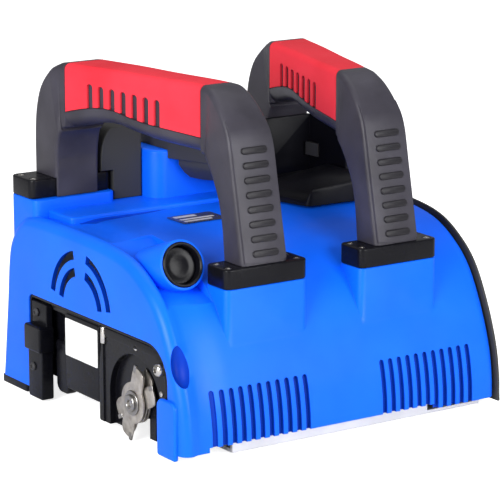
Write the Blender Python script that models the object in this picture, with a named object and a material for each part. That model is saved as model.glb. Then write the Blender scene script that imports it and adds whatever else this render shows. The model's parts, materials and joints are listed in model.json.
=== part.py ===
"""Wall chaser: a two-handled machine that mills a cable slot with a side cutter on a sprung arm.

Frame: +X along the front face towards the blank side, +Y from front to back, +Z up.
The origin is on the floor under the middle of the machine's box. All sizes are in metres.
"""

import math

import bmesh
import bpy
import numpy as np

# ---------------------------------------------------------------- driving sizes
GAP = 0.0003                       # clearance between pieces that touch
CENTRE_SHIFT = 0.0036               # puts the origin under the middle of the whole box

SHELL_LEFT = -0.160
SHELL_RIGHT = 0.1575
SHELL_BOTTOM = 0.008
SHELL_WALL = 0.004
SHELL_EDGE_R = 0.009
SIDE_PLATE_T = 0.0025
SIDE_PLATE_LIP = 0.0015
DECK_Z = 0.160
PLATFORM_Z = 0.1635
PLATFORM_FRONT = 0.055
TOWER_Z = 0.206

OPENING_FRONT = -0.127
OPENING_REAR = 0.098
OPENING_TOP = 0.092
OPENING_R = 0.030
FRAME_WALL = 0.0025

FLOOR_CLEAR = 0.0015               # the plate rides this far above the rollers' contact line
PLATE_T = 0.003
PLATE_LEFT = -0.108
PLATE_RIGHT = 0.146
PLATE_HALF_Y = 0.142
PLATE_LIP_H = 0.012
ROLLER_R = 0.009
ROLLER_W = 0.022
AXLE_R = 0.003
AXLE_Y = 0.112
ROLLER_X = (-0.082, 0.118)

MOTOR_Y = 0.084
MOTOR_Z = 0.050
MOTOR_R = 0.036
SPINDLE_Y = -0.072
SPINDLE_Z = 0.035
CUTTER_R = 0.0335
# Edge of a cutter plate over a quarter turn, from the middle of a wing (degrees, radius).
CUTTER_EDGE = [(0, CUTTER_R), (10, CUTTER_R), (15, 0.0275), (23, 0.0240), (36, 0.0195), (55, 0.0172), (90, 0.0165)]
PULLEY_R_MOTOR = 0.012
PULLEY_R_SPINDLE = 0.010

ARM_LEFT = -0.1463
ARM_RIGHT = -0.1240
ARM_WALL = 0.0025
ARM_REAR_R = 0.030
ARM_NOSE_R = 0.0155

COLLAR_HALF = 0.040
COLLAR_H = 0.0164
COLLAR_R = 0.006
FRONT_FOOT = (-0.0665, -0.1155, 0.134)   # x, y, z of the front collar's underside
REAR_FOOT = (-0.1145, 0.1183, 0.173)
FRONT_FOOT_DEPTH = 0.032
REAR_FOOT_DEPTH = 0.0365
REAR_LEG_X = -0.110

GRIP_FRONT = -0.060
GRIP_REAR = 0.088
GRIP_SKIN = 0.0026
GRIP_SKIRT = 0.044                 # how far the red cover reaches down from the grip's top

BOSS_CENTRE = (-0.126, -0.097, 0.1515)
BOSS_TILT = math.radians(18.8)
BOSS_R = 0.021
BOSS_BORE_R = 0.0188
BOSS_DEPTH = 0.014

# Side outline of the casing, front foot over the top to the back foot (y, z).
CASING_OUTLINE = [
    (-0.151, 0.008), (-0.150, 0.028), (-0.145, 0.054), (-0.133, 0.086), (-0.116, 0.117),
    (-0.095, 0.137), (-0.066, 0.152), (-0.025, 0.1585), (0.030, 0.160), (0.094, 0.159),
    (0.115, 0.152), (0.129, 0.138), (0.137, 0.118), (0.142, 0.076), (0.148, 0.030), (0.151, 0.008),
]

# Handle stations from the front foot to the back foot: outer (y, z), inner (y, z).
HANDLE_STATIONS = [
    ((-0.129, 0.1507), (-0.099, 0.1507)),
    ((-0.122, 0.184), (-0.096, 0.178)),
    ((-0.1155, 0.215), (-0.091, 0.198)),
    ((-0.109, 0.245), (-0.0845, 0.211)),
    ((-0.102, 0.260), (-0.080, 0.217)),
    ((-0.091, 0.2735), (-0.074, 0.223)),
    ((-0.077, 0.284), (-0.067, 0.2285)),
    ((GRIP_FRONT, 0.2885), (GRIP_FRONT, 0.2315)),
    ((0.000, 0.2895), (0.000, 0.2360)),
    ((0.045, 0.2905), (0.045, 0.2430)),
    ((GRIP_REAR, 0.2905), (GRIP_REAR, 0.2350)),
    ((0.098, 0.2885), (0.091, 0.231)),
    ((0.109, 0.2825), (0.0935, 0.226)),
    ((0.1240, 0.268), (0.0955, 0.217)),
    ((0.1325, 0.247), (0.0970, 0.207)),
    ((0.1355, 0.222), (0.0970, 0.198)),
    ((0.1360, 0.1897), (0.0970, 0.1897)),
]

COLOURS = {
    "casing_blue": ((0.010, 0.130, 0.850), 0.35, 0.0),
    "black_plastic": ((0.018, 0.018, 0.021), 0.50, 0.0),
    "dark_plastic": ((0.030, 0.030, 0.034), 0.55, 0.0),
    "grip_red": ((0.780, 0.030, 0.055), 0.45, 0.0),
    "machined_steel": ((0.560, 0.550, 0.530), 0.30, 1.0),
    "cutter_steel": ((0.430, 0.400, 0.360), 0.38, 1.0),
    "plate_aluminium": ((0.720, 0.720, 0.740), 0.35, 1.0),
    "label_white": ((0.800, 0.800, 0.780), 0.50, 0.0),
    "label_grey": ((0.300, 0.310, 0.330), 0.45, 0.0),
    "rubber_black": ((0.015, 0.015, 0.015), 0.80, 0.0),
    "copper": ((0.720, 0.330, 0.160), 0.40, 1.0),
    "core_steel": ((0.250, 0.250, 0.260), 0.45, 1.0),
    "carbon": ((0.050, 0.050, 0.050), 0.60, 0.0),
}


# ---------------------------------------------------------------- scene helpers
def clear_scene():
    """Removes every object of the open scene."""
    for obj in list(bpy.data.objects):
        bpy.data.objects.remove(obj, do_unlink=True)


def material(name):
    """The named Principled material, made on its first use."""
    found = bpy.data.materials.get(name)
    if found:
        return found
    colour, roughness, metallic = COLOURS[name]
    made = bpy.data.materials.new(name)
    made.use_nodes = True
    shader = made.node_tree.nodes["Principled BSDF"]
    shader.inputs["Base Color"].default_value = (*colour, 1.0)
    shader.inputs["Roughness"].default_value = roughness
    shader.inputs["Metallic"].default_value = metallic
    made.diffuse_color = (*colour, 1.0)
    return made


def add_object(name, mesh_builder, finish, root):
    """Links a mesh object, with its normals outward, under the root empty."""
    mesh = bpy.data.meshes.new(name)
    bmesh.ops.recalc_face_normals(mesh_builder, faces=mesh_builder.faces)
    mesh_builder.to_mesh(mesh)
    mesh_builder.free()
    if finish:
        mesh.materials.append(material(finish))
    mesh.shade_smooth()
    mesh.set_sharp_from_angle(angle=math.radians(35))
    obj = bpy.data.objects.new(name, mesh)
    bpy.context.scene.collection.objects.link(obj)
    obj.parent = root
    return obj


def place(obj, location, tilt=None):
    """Moves the object's origin, and turns it about X by tilt."""
    obj.location = location
    if tilt is not None:
        obj.rotation_euler = (tilt, 0.0, 0.0)
    return obj


def as_cutter(obj):
    """Keeps a Boolean's second shape out of the model."""
    obj.hide_render = True
    obj.display_type = "WIRE"
    return obj


def boolean(target, other, operation):
    """Adds a live Boolean of the other shape to the target."""
    step = target.modifiers.new(operation.lower() + "_" + other.name, "BOOLEAN")
    step.operation = operation
    step.object = as_cutter(other)
    step.solver = "EXACT"
    return target


# ---------------------------------------------------------------- mesh builders
def skin(rings, capped=True):
    """A closed mesh through rings of equal length; the last ring joins the first when not capped."""
    builder = bmesh.new()
    rows = [[builder.verts.new(point) for point in ring] for ring in rings]
    count = len(rows[0])
    last = len(rows) - 1 if capped else len(rows)
    for index in range(last):
        row, after = rows[index], rows[(index + 1) % len(rows)]
        for step in range(count):
            ahead = (step + 1) % count
            builder.faces.new((row[step], row[ahead], after[ahead], after[step]))
    if capped:
        builder.faces.new(rows[0])
        builder.faces.new(rows[-1][::-1])
    return builder


def prism(outline, low, high, axis="x"):
    """An outline of the two other axes, in X, Y, Z order, carried from low to high along axis."""
    def at(point, along):
        first, second = point
        if axis == "x":
            return (along, first, second)
        if axis == "y":
            return (first, along, second)
        return (first, second, along)

    return skin([[at(point, along) for point in outline] for along in (low, high)])


def merge(builders):
    """One builder that holds all the given ones, each still closed on its own."""
    joined = bmesh.new()
    for builder in builders:
        bmesh.ops.recalc_face_normals(builder, faces=builder.faces)
        temporary = bpy.data.meshes.new("merge_step")
        builder.to_mesh(temporary)
        builder.free()
        joined.from_mesh(temporary)
        bpy.data.meshes.remove(temporary)
    return joined


def box(low, high):
    """A block between two corners."""
    outline = [(low[1], low[2]), (high[1], low[2]), (high[1], high[2]), (low[1], high[2])]
    return prism(outline, low[0], high[0])


def rounded_rectangle(low, high, radii, steps=4):
    """Outline between two corners; radii run from the low corner anticlockwise."""
    corners = [(low[0], low[1]), (high[0], low[1]), (high[0], high[1]), (low[0], high[1])]
    signs = [(1, 1), (-1, 1), (-1, -1), (1, -1)]
    outline = []
    for index, (corner, sign, radius) in enumerate(zip(corners, signs, radii)):
        if radius <= 0:
            outline.append(corner)
            continue
        start = math.pi + index * math.pi / 2
        for step in range(steps + 1):
            angle = start + step * math.pi / 2 / steps
            outline.append((
                corner[0] + sign[0] * radius + radius * math.cos(angle),
                corner[1] + sign[1] * radius + radius * math.sin(angle),
            ))
    return outline


def circle(centre, radius, count):
    """Outline of a circle."""
    angles = [math.tau * step / count for step in range(count)]
    return [(centre[0] + radius * math.cos(a), centre[1] + radius * math.sin(a)) for a in angles]


def turned(profile, count=24):
    """A solid turned about X: the profile lists (x, radius), closed on the axis or on itself."""
    builder = bmesh.new()
    rows = []
    for along, radius in profile:
        if radius <= 0:
            rows.append([builder.verts.new((along, 0.0, 0.0))])
            continue
        rows.append([
            builder.verts.new((along, radius * math.cos(a), radius * math.sin(a)))
            for a in [math.tau * step / count for step in range(count)]
        ])
    on_axis = len(rows[0]) == 1
    last = len(rows) - 1 if on_axis else len(rows)
    for index in range(last):
        row, after = rows[index], rows[(index + 1) % len(rows)]
        for step in range(count):
            ahead = (step + 1) % count
            corners = [row[step % len(row)], row[ahead % len(row)],
                       after[ahead % len(after)], after[step % len(after)]]
            builder.faces.new(list(dict.fromkeys(corners)))
    return builder


def disc_profile(low, high, radius):
    """Profile of a plain cylinder."""
    return [(low, 0.0), (low, radius), (high, radius), (high, 0.0)]


def tube_profile(low, high, inner, outer):
    """Profile of a plain ring."""
    return [(low, inner), (low, outer), (high, outer), (high, inner)]


def smooth_curve(points, steps):
    """Catmull-Rom curve through the points, with the given steps between two of them."""
    knots = np.array([points[0], *points, points[-1]], float)
    rows = []
    for index in range(1, len(knots) - 2):
        before, start, end, after = knots[index - 1:index + 3]
        for step in range(steps):
            t = step / steps
            rows.append(0.5 * (
                2 * start + (end - before) * t
                + (2 * before - 5 * start + 4 * end - after) * t * t
                + (3 * start - before - 3 * end + after) * t ** 3
            ))
    rows.append(knots[-1])
    return np.array(rows)


def inset(outline, distance):
    """Moves an open outline that runs front, over the top, to the back inward along its normals."""
    along = np.gradient(outline, axis=0)
    along /= np.linalg.norm(along, axis=1)[:, None]
    inward = np.stack([along[:, 1], -along[:, 0]], axis=1)
    return outline + inward * distance


# ---------------------------------------------------------------- casing
def casing_loft(left, right, wall, bottom, edge_radius, steps=4):
    """Casing-shaped solid: the side outline, wall metres inside, with rounded side edges."""
    outline = smooth_curve(CASING_OUTLINE, 3)
    angles = [math.pi / 2 * step / steps for step in range(steps + 1)]
    offsets = [(edge_radius * (1 - math.sin(a)), edge_radius * (1 - math.cos(a))) for a in angles]
    stations = [(left + along, depth) for depth, along in offsets]
    stations += [(right - along, depth) for depth, along in reversed(offsets)]
    rings = []
    for x, depth in stations:
        curve = inset(outline, wall + depth)
        curve[0, 1] = bottom
        curve[-1, 1] = bottom
        rings.append([(x, y, z) for y, z in curve])
    return skin(rings)


def pocket_outline(drop):
    """Wedge above the flat pocket that the round boss stands in (y, z)."""
    return [(-0.112, 0.121 - drop), (-0.020, 0.157 - drop), (-0.010, 0.185), (-0.150, 0.185), (-0.150, 0.121 - drop)]


def front_slots():
    """Cutters for two groups of eleven upright slots, open at the lower edge."""
    cutters = []
    for side in (-1, 1):
        for index in range(11):
            x = side * (0.039 + 0.009 * index)
            outline = rounded_rectangle((x - 0.0024, -0.002), (x + 0.0024, 0.0573), (0, 0, 0.002, 0.002), 2)
            cutters.append(prism(outline, -0.170, -0.125, "y"))
    return merge(cutters)


def arc_slot(radius, start, end, width, low, high, steps=8):
    """Ring-sector cutter about the side vent's centre."""
    angles = [start + (end - start) * step / steps for step in range(steps + 1)]
    outline = [(0.0096 + (radius + width / 2) * math.cos(a), 0.0956 + (radius + width / 2) * math.sin(a))
               for a in angles]
    outline += [(0.0096 + (radius - width / 2) * math.cos(a), 0.0956 + (radius - width / 2) * math.sin(a))
                for a in reversed(angles)]
    return prism(outline, low, high)


def side_vents():
    """Two pairs of curved vents above the arm's opening."""
    cutters = []
    for radius, gap in ((0.0463, 0.22), (0.0320, 0.26)):
        for start, end in ((0.17, math.pi / 2 - gap), (math.pi / 2 + gap, math.pi - 0.17)):
            cutters.append(arc_slot(radius, start, end, 0.0050, SHELL_LEFT - 0.002, SHELL_LEFT + 0.012))
    return merge(cutters)


def opening_outline(grow=0.0):
    """Side opening for the arm (y, z), open at the bottom."""
    return rounded_rectangle(
        (OPENING_FRONT - grow, -0.010), (OPENING_REAR + grow, OPENING_TOP + grow),
        (0, 0, 0.006 + grow, OPENING_R + grow), 6,
    )


def foot_outline(foot, depth, margin=0.0):
    """Plan of one handle foot (x, y)."""
    return rounded_rectangle(
        (foot[0] - COLLAR_HALF - margin, foot[1] - depth / 2 - margin),
        (foot[0] + COLLAR_HALF + margin, foot[1] + depth / 2 + margin),
        (COLLAR_R,) * 4, 3,
    )


def mirrored(foot, side):
    """The foot on the given side: -1 is left, 1 is right."""
    return (-side * foot[0], foot[1], foot[2])


def boss_body(root):
    """Round boss that faces front and a little up."""
    builder = turned(disc_profile(-0.048, 0.0, BOSS_R), 32)
    return aim_boss(add_object("boss_union", builder, None, root))


def aim_boss(obj):
    """Turns a piece made about X so that +X points out of the boss, and puts it on the boss face."""
    obj.rotation_euler = (0.0, -BOSS_TILT, -math.pi / 2)
    obj.location = BOSS_CENTRE
    return obj


def corner_pillar():
    """Upright pillar that stands a little proud of the left side, next to the cutter."""
    outline = rounded_rectangle((-0.1415, 0.0030), (-0.1145, 0.0510), (0.002, 0.002, 0.007, 0.007), 3)
    return prism(outline, SHELL_LEFT - 0.0030, SHELL_LEFT + 0.0012)


def build_shell(root):
    """One-piece blue casing: top, front, back and left side, open underneath and on the right."""
    shell = add_object(
        "body_shell", casing_loft(SHELL_LEFT, SHELL_RIGHT, 0.0, SHELL_BOTTOM, SHELL_EDGE_R), "casing_blue", root)
    pocket = prism(pocket_outline(0.0), -0.150, -0.1075)
    boolean(shell, add_object("pocket_cut", pocket, None, root), "DIFFERENCE")

    pads = []
    for side in (-1, 1):
        front, rear = mirrored(FRONT_FOOT, side), mirrored(REAR_FOOT, side)
        pads.append(prism(foot_outline(front, FRONT_FOOT_DEPTH), 0.085, front[2] - GAP, "z"))
        rear_pad = (rear[0], rear[1] - 0.0035)
        pads.append(prism(foot_outline(rear_pad, REAR_FOOT_DEPTH + 0.0070), 0.128, rear[2] - GAP, "z"))
        back_pad = [(front[0] - 0.036, -0.105), (front[0] + 0.036, -0.105),
                    (front[0] + 0.036, -0.078), (front[0] - 0.036, -0.078)]
        pads.append(prism(back_pad, 0.110, front[2] - 0.002, "z"))
    platform = rounded_rectangle((-0.141, PLATFORM_FRONT), (0.122, 0.118), (0.004, 0.004, 0, 0), 2)
    pads.append(prism(platform, 0.150, PLATFORM_Z, "z"))
    tower = rounded_rectangle((-0.0430, 0.0800), (0.0560, 0.1260), (0.014, 0.004, 0.004, 0.010), 4)
    pads.append(prism(tower, 0.140, TOWER_Z, "z"))
    for index, builder in enumerate(pads):
        boolean(shell, add_object(f"pad_{index}", builder, None, root), "UNION")
    boolean(shell, boss_body(root), "UNION")

    cavity = add_object(
        "cavity_cut", casing_loft(SHELL_LEFT + SHELL_WALL, SHELL_RIGHT + 0.020, SHELL_WALL, -0.010, 0.006),
        None, root)
    keep = prism(pocket_outline(SHELL_WALL + 0.001), -0.158, -0.1035)
    boolean(cavity, add_object("pocket_floor", keep, None, root), "DIFFERENCE")
    boolean(cavity, aim_boss(add_object(
        "boss_wall", turned(disc_profile(-0.060, 0.010, BOSS_R + 0.001), 32), None, root)), "DIFFERENCE")
    boolean(shell, cavity, "DIFFERENCE")

    boolean(shell, add_object("opening_cut", prism(opening_outline(), -0.175, -0.130), None, root), "DIFFERENCE")
    boolean(shell, add_object("corner_pillar", corner_pillar(), None, root), "UNION")
    boolean(shell, add_object("slots_cut", front_slots(), None, root), "DIFFERENCE")
    boolean(shell, add_object("vents_cut", side_vents(), None, root), "DIFFERENCE")
    step = box((-0.134, -0.170, -0.002), (0.092, -0.120, 0.012))
    boolean(shell, add_object("lower_step_cut", step, None, root), "DIFFERENCE")
    bore = turned(disc_profile(-BOSS_DEPTH, 0.005, BOSS_BORE_R), 32)
    boolean(shell, aim_boss(add_object("boss_bore_cut", bore, None, root)), "DIFFERENCE")
    return shell


def build_casing_trim(root):
    """Pieces fixed to the casing: side plate, opening frame, guard, bracket, port and labels."""
    outline = inset(smooth_curve(CASING_OUTLINE, 3), -SIDE_PLATE_LIP)
    outline[0, 1] = outline[-1, 1] = 0.004
    plate = prism([tuple(p) for p in outline], SHELL_RIGHT + GAP, SHELL_RIGHT + GAP + SIDE_PLATE_T)
    add_object("right_side_plate", plate, "black_plastic", root)

    frame = add_object(
        "opening_frame", prism(opening_outline(-GAP), -0.1585, -0.1496), "black_plastic", root)
    inner = prism(opening_outline(-GAP - FRAME_WALL), -0.180, -0.100)
    boolean(frame, add_object("frame_inner_cut", inner, None, root), "DIFFERENCE")
    lower = box((-0.180, -0.200, -0.020), (-0.100, 0.200, 0.0045))
    boolean(frame, add_object("frame_lower_cut", lower, None, root), "DIFFERENCE")

    build_guard(root)
    build_bracket(root)

    liner = turned([(-BOSS_DEPTH + GAP, 0.0), (-BOSS_DEPTH + GAP, BOSS_BORE_R - GAP), (0.0015, BOSS_BORE_R - GAP),
                    (0.0015, 0.0160), (-0.010, 0.0155), (-0.010, 0.0)], 32)
    aim_boss(add_object("port_liner", liner, "black_plastic", root))
    plug = turned([(-0.0095, 0.0), (-0.0095, 0.0150), (-0.0040, 0.0152), (-0.0030, 0.0130), (-0.0060, 0.0060),
                   (-0.0065, 0.0)], 32)
    aim_boss(add_object("port_plug", plug, "rubber_black", root))

    label = box((-0.066, -0.0050, DECK_Z + 0.0003), (-0.022, 0.0240, DECK_Z + 0.0007))
    add_object("deck_label", label, "label_grey", root)


def build_guard(root):
    """Fixed black guard round the cutter, open at the bottom and on the outside."""
    outer = rounded_rectangle((-0.1235, 0.0065), (-0.0165, 0.0885), (0.002, 0.002, 0.002, 0.026), 5)
    guard = add_object("cutter_guard", prism(outer, -0.1580, -0.1498), "black_plastic", root)
    recess = prism(circle((SPINDLE_Y, SPINDLE_Z), 0.0400, 32), -0.170, -0.1512)
    boolean(guard, add_object("guard_recess_cut", recess, None, root), "DIFFERENCE")
    lower = box((-0.170, SPINDLE_Y - 0.0397, -0.010), (-0.1512, SPINDLE_Y + 0.0397, SPINDLE_Z))
    boolean(guard, add_object("guard_lower_cut", lower, None, root), "DIFFERENCE")
    slot = prism(rounded_rectangle((SPINDLE_Y - 0.0135, -0.010), (SPINDLE_Y + 0.0135, SPINDLE_Z + 0.0125),
                                   (0, 0, 0.0130, 0.0130), 4), -0.170, -0.140)
    boolean(guard, add_object("guard_slot_cut", slot, None, root), "DIFFERENCE")
    corner = box((-0.170, -0.130, -0.010), (-0.140, -0.0950, 0.0360))
    boolean(guard, add_object("guard_corner_cut", corner, None, root), "DIFFERENCE")

    screw = turned([(-0.0060, 0.0), (-0.0055, 0.0035), (-0.0030, 0.0055), (0.0, 0.0055), (0.0, 0.0)], 20)
    place(add_object("depth_stop_screw", screw, "machined_steel", root), (-0.1583, -0.1130, 0.0725))
    slope = [(-0.0160, 0.0450), (-0.0205, 0.0740), (-0.0270, 0.0740), (-0.0270, 0.100), (0.0, 0.100), (0.0, 0.0450)]
    boolean(guard, add_object("guard_notch_cut", prism(slope, -0.170, -0.140), None, root), "DIFFERENCE")
    pin = prism(circle((-0.1570, -0.0230), 0.0026, 16), 0.0743, 0.0885, "z")
    add_object("guard_pivot_pin", pin, "machined_steel", root)


def build_bracket(root):
    """Upright bracket that holds the outer end of the arm's pivot, with its two screws."""
    bar = add_object("pivot_bracket", box((-0.1635, 0.0705, 0.0020), (-0.1520, 0.0945, 0.0480)),
                     "black_plastic", root)
    tab = box((-0.1675, 0.0675, 0.0450), (-0.1525, 0.0945, 0.0680))
    boolean(bar, add_object("bracket_tab", tab, None, root), "UNION")
    upper = box((-0.1595, 0.0690, 0.0660), (-0.1530, 0.0935, 0.0870))
    boolean(bar, add_object("bracket_upper", upper, None, root), "UNION")
    pocket = turned(disc_profile(-0.004, 0.004, 0.0088), 20)
    boolean(bar, place(add_object("bracket_pocket_cut", pocket, None, root), (-0.1520, MOTOR_Y, MOTOR_Z)),
            "DIFFERENCE")
    screws = (("bracket_screw_upper", (-0.1598, 0.0850, 0.0775)), ("bracket_screw_lower", (-0.1638, 0.0850, 0.0300)))
    for name, at in screws:
        screw = turned([(-0.0022, 0.0), (-0.0020, 0.0020), (-0.0008, 0.0036), (0.0, 0.0036), (0.0, 0.0)], 16)
        place(add_object(name, screw, "machined_steel", root), at)


# ---------------------------------------------------------------- base
def build_base(root):
    """Sole plate with its lip and axle ears, two axles and four guide rollers."""
    low, high = FLOOR_CLEAR, FLOOR_CLEAR + PLATE_T
    plate = add_object("base_plate", box((PLATE_LEFT, -PLATE_HALF_Y, low), (PLATE_RIGHT, PLATE_HALF_Y, high)),
                       "plate_aluminium", root)
    extras = [box((PLATE_LEFT, -PLATE_HALF_Y, low), (PLATE_RIGHT - 0.056, -PLATE_HALF_Y + 0.003, PLATE_LIP_H))]
    extras.append(box((-0.1512, -0.1120, low), (PLATE_LEFT + 0.004, -0.0965, high)))
    extras.append(box((-0.1512, -0.1120, low), (-0.1498, -0.0965, 0.0355)))
    windows = []
    for x in ROLLER_X:
        for y in (-AXLE_Y, AXLE_Y):
            half = ROLLER_W / 2
            windows.append(box((x - half - 0.002, y - ROLLER_R - 0.002, -0.01), (x + half + 0.002, y + ROLLER_R + 0.002, 0.01)))
            for ear in (x - half - 0.0055, x + half + 0.0025):
                extras.append(box((ear, y - 0.006, low), (ear + 0.003, y + 0.006, ROLLER_R + 0.006)))
    for index, builder in enumerate(extras):
        boolean(plate, add_object(f"plate_extra_{index}", builder, None, root), "UNION")
    boolean(plate, add_object("windows_cut", merge(windows), None, root), "DIFFERENCE")
    bores = [prism(circle((y, ROLLER_R), AXLE_R + GAP, 16), -0.2, 0.2) for y in (-AXLE_Y, AXLE_Y)]
    boolean(plate, add_object("axle_bores_cut", merge(bores), None, root), "DIFFERENCE")

    ends = (ROLLER_X[0] - 0.018, ROLLER_X[1] + 0.018)
    for name, y in (("front_axle", -AXLE_Y), ("rear_axle", AXLE_Y)):
        axle = turned(disc_profile(ends[0], ends[1], AXLE_R), 16)
        place(add_object(name, axle, "machined_steel", root), (0.0, y, ROLLER_R))
        for side, x in zip(("left", "right"), ROLLER_X):
            half = ROLLER_W / 2
            roller = turned([
                (-half, AXLE_R + GAP), (-half, ROLLER_R - 0.001), (-half + 0.001, ROLLER_R),
                (half - 0.001, ROLLER_R), (half, ROLLER_R - 0.001), (half, AXLE_R + GAP)], 24)
            place(add_object(f"{name[:-5]}_roller_{side}", roller, "rubber_black", root), (x, y, ROLLER_R))


# ---------------------------------------------------------------- handles
def plan_shift(y):
    """X of the left handle's middle at depth y: square legs joined by a skewed grip."""
    t = min(max((y + 0.066) / 0.172, 0.0), 1.0)
    return FRONT_FOOT[0] + (REAR_LEG_X - FRONT_FOOT[0]) * t


def half_width(y):
    """Half the handle's width at depth y: full at the legs, narrower at the front of the grip."""
    if y < -0.060:
        t = min(max((y + 0.110) / 0.050, 0.0), 1.0)
        return 0.0222 - 0.0052 * t
    t = min((y + 0.060) / 0.150, 1.0)
    return 0.0170 + 0.0043 * t


def handle_section(width, height, low_radius, high_radius, skin_inset, skirt):
    """Ring of (across, up) points, stepped in by skin_inset above the skirt line over the lower corners."""
    def corner(across, up, radius, start):
        return [(across + radius * math.cos(start + a), up + radius * math.sin(start + a))
                for a in (0.0, math.pi / 6, math.pi / 3, math.pi / 2)]

    line = height - min(skirt, height - low_radius - 0.001)
    narrow = width - skin_inset
    ring = corner(width - low_radius, low_radius, low_radius, -math.pi / 2)
    ring += [(width, line - 0.0003), (narrow, line)]
    ring += corner(narrow - high_radius, height - skin_inset - high_radius, high_radius, 0.0)
    ring += corner(-narrow + high_radius, height - skin_inset - high_radius, high_radius, math.pi / 2)
    ring += [(-narrow, line), (-width, line - 0.0003)]
    ring += corner(-width + low_radius, low_radius, low_radius, math.pi)
    return ring


def handle_ring(station, grip, side):
    """One ring of the handle in space."""
    outer, inner = np.array(station[0]), np.array(station[1])
    span = outer - inner
    height = float(np.linalg.norm(span))
    width = half_width(outer[0])
    if grip:
        section = handle_section(width, height, 0.0125, 0.0050, GRIP_SKIN, GRIP_SKIRT)
    else:
        section = handle_section(width, height, 0.0035, 0.0055, 0.0, min(GRIP_SKIRT, height - 0.0125))
    ring = []
    for across, up in section:
        y, z = inner + span * (up / height)
        ring.append((-side * (plan_shift(outer[0]) + across), y, z))
    return ring


def build_handles(root):
    """Two bent handles, each with two feet and a moulded red grip cover."""
    for side, name in ((-1, "left"), (1, "right")):
        rings = []
        for station in HANDLE_STATIONS:
            y = station[0][0]
            if y == GRIP_FRONT:
                rings.append(handle_ring(shifted(station, -0.0006), False, side))
                rings.append(handle_ring(station, True, side))
            elif y == GRIP_REAR:
                rings.append(handle_ring(station, True, side))
                rings.append(handle_ring(shifted(station, 0.0006), False, side))
            else:
                rings.append(handle_ring(station, GRIP_FRONT < y < GRIP_REAR, side))
        handle = add_object(f"handle_{name}", skin(rings), "black_plastic", root)
        boolean(handle, add_object(f"handle_tongue_{name}", rear_tongue(side), None, root), "UNION")
        build_grip_cover(root, name, side)
        for place_name, foot, depth in (("front", FRONT_FOOT, FRONT_FOOT_DEPTH), ("rear", REAR_FOOT, REAR_FOOT_DEPTH)):
            at = mirrored(foot, side)
            collar = prism(foot_outline(at, depth), at[2], at[2] + COLLAR_H, "z")
            add_object(f"{place_name}_foot_{name}", collar, "black_plastic", root)


def rear_tongue(side):
    """Front wall of the rear leg, carried down over the front of its foot."""
    x = -side * REAR_LEG_X
    front, low = REAR_FOOT[1] - REAR_FOOT_DEPTH / 2, REAR_FOOT[2] + GAP
    return box((x - 0.0200, front - 0.0030, low), (x + 0.0200, front - GAP, low + 0.0230))


def shifted(station, distance):
    """The station moved along Y."""
    return tuple((y + distance, z) for y, z in station)


def build_grip_cover(root, name, side):
    """Red cover over the top and sides of the grip, with seven slots in each skirt."""
    rings = []
    stations = [s for s in HANDLE_STATIONS if GRIP_FRONT <= s[0][0] <= GRIP_REAR]
    for index, station in enumerate(stations):
        end_gap = GAP if index == 0 else (-GAP if index == len(stations) - 1 else 0.0)
        outer, inner = np.array(station[0]), np.array(station[1])
        height = float(np.linalg.norm(outer - inner))
        width = half_width(outer[0])
        outside = handle_section(width, height, 0.0125, 0.0060, 0.0, GRIP_SKIRT)[5:15]
        inside = handle_section(width, height, 0.0125, 0.0050, GRIP_SKIN - GAP, GRIP_SKIRT)[5:15]
        outside[0] = (outside[0][0], outside[0][1] + GAP)
        outside[-1] = (outside[-1][0], outside[-1][1] + GAP)
        inside[0] = (inside[0][0], inside[0][1] + GAP)
        inside[-1] = (inside[-1][0], inside[-1][1] + GAP)
        ring = []
        for across, up in outside + inside[::-1]:
            y, z = inner + (outer - inner) * (up / height)
            ring.append((-side * (plan_shift(y) + across), y + end_gap, z))
        rings.append(ring)
    cover = add_object(f"grip_cover_{name}", skin(rings), "grip_red", root)
    cutters = []
    for index in range(7):
        y = 0.0600 - 0.0120 * index
        outline = rounded_rectangle((y - 0.0028, 0.225), (y + 0.0028, 0.2695 + 0.0006 * (6 - index)),
                                    (0, 0, 0.0024, 0.0024), 3)
        cutters.append(prism(outline, min(0.0, side * 0.17), max(0.0, side * 0.17)))
    boolean(cover, add_object(f"grip_slots_cut_{name}", merge(cutters), None, root), "DIFFERENCE")


# ---------------------------------------------------------------- rear housings
def build_rear_housings(root):
    """Black housings behind and between the handles, the rocker switch and the cable gland."""
    low = PLATFORM_Z + GAP
    outline = [(-0.0725, low), (-0.0440, low), (-0.0440, 0.2230), (-0.0490, 0.2280), (-0.0720, 0.2280),
               (-0.0780, 0.2250), (-0.0825, 0.2170), (-0.0845, 0.2070), (-0.0850, 0.1900), (-0.0725, 0.1900)]
    add_object("air_housing", prism(outline, 0.0990, 0.1310, "y"), "black_plastic", root)

    top = [(-0.0290, 0.0795), (-0.0290, 0.1280), (0.0620, 0.1280), (0.0620, 0.0760), (0.0400, 0.0760),
           (0.0400, 0.0400), (-0.0140, 0.0400)]
    hood = add_object("rear_hood", prism(top, 0.1985, 0.2160, "z"), "dark_plastic", root)
    apron = [(-0.0160, 0.0560), (-0.0200, 0.0760), (0.0240, 0.0760), (0.0240, 0.0450), (-0.0080, 0.0450)]
    low_apron = [(x + 0.012, min(y + 0.004, 0.0760)) for x, y in apron]
    lower = skin([[(x, y, 0.2000) for x, y in apron], [(x, y, 0.1880) for x, y in apron],
                  [(x, y, 0.1740) for x, y in low_apron]])
    boolean(hood, add_object("rear_hood_lower", lower, None, root), "UNION")
    socket = prism(rounded_rectangle((-0.0433, 0.0797), (0.0563, 0.1263), (0.014, 0.004, 0.004, 0.010), 4),
                   0.1900, TOWER_Z + GAP, "z")
    boolean(hood, add_object("rear_hood_socket_cut", socket, None, root), "DIFFERENCE")

    build_motor_hood(root)
    build_switch_box(root)


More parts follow.
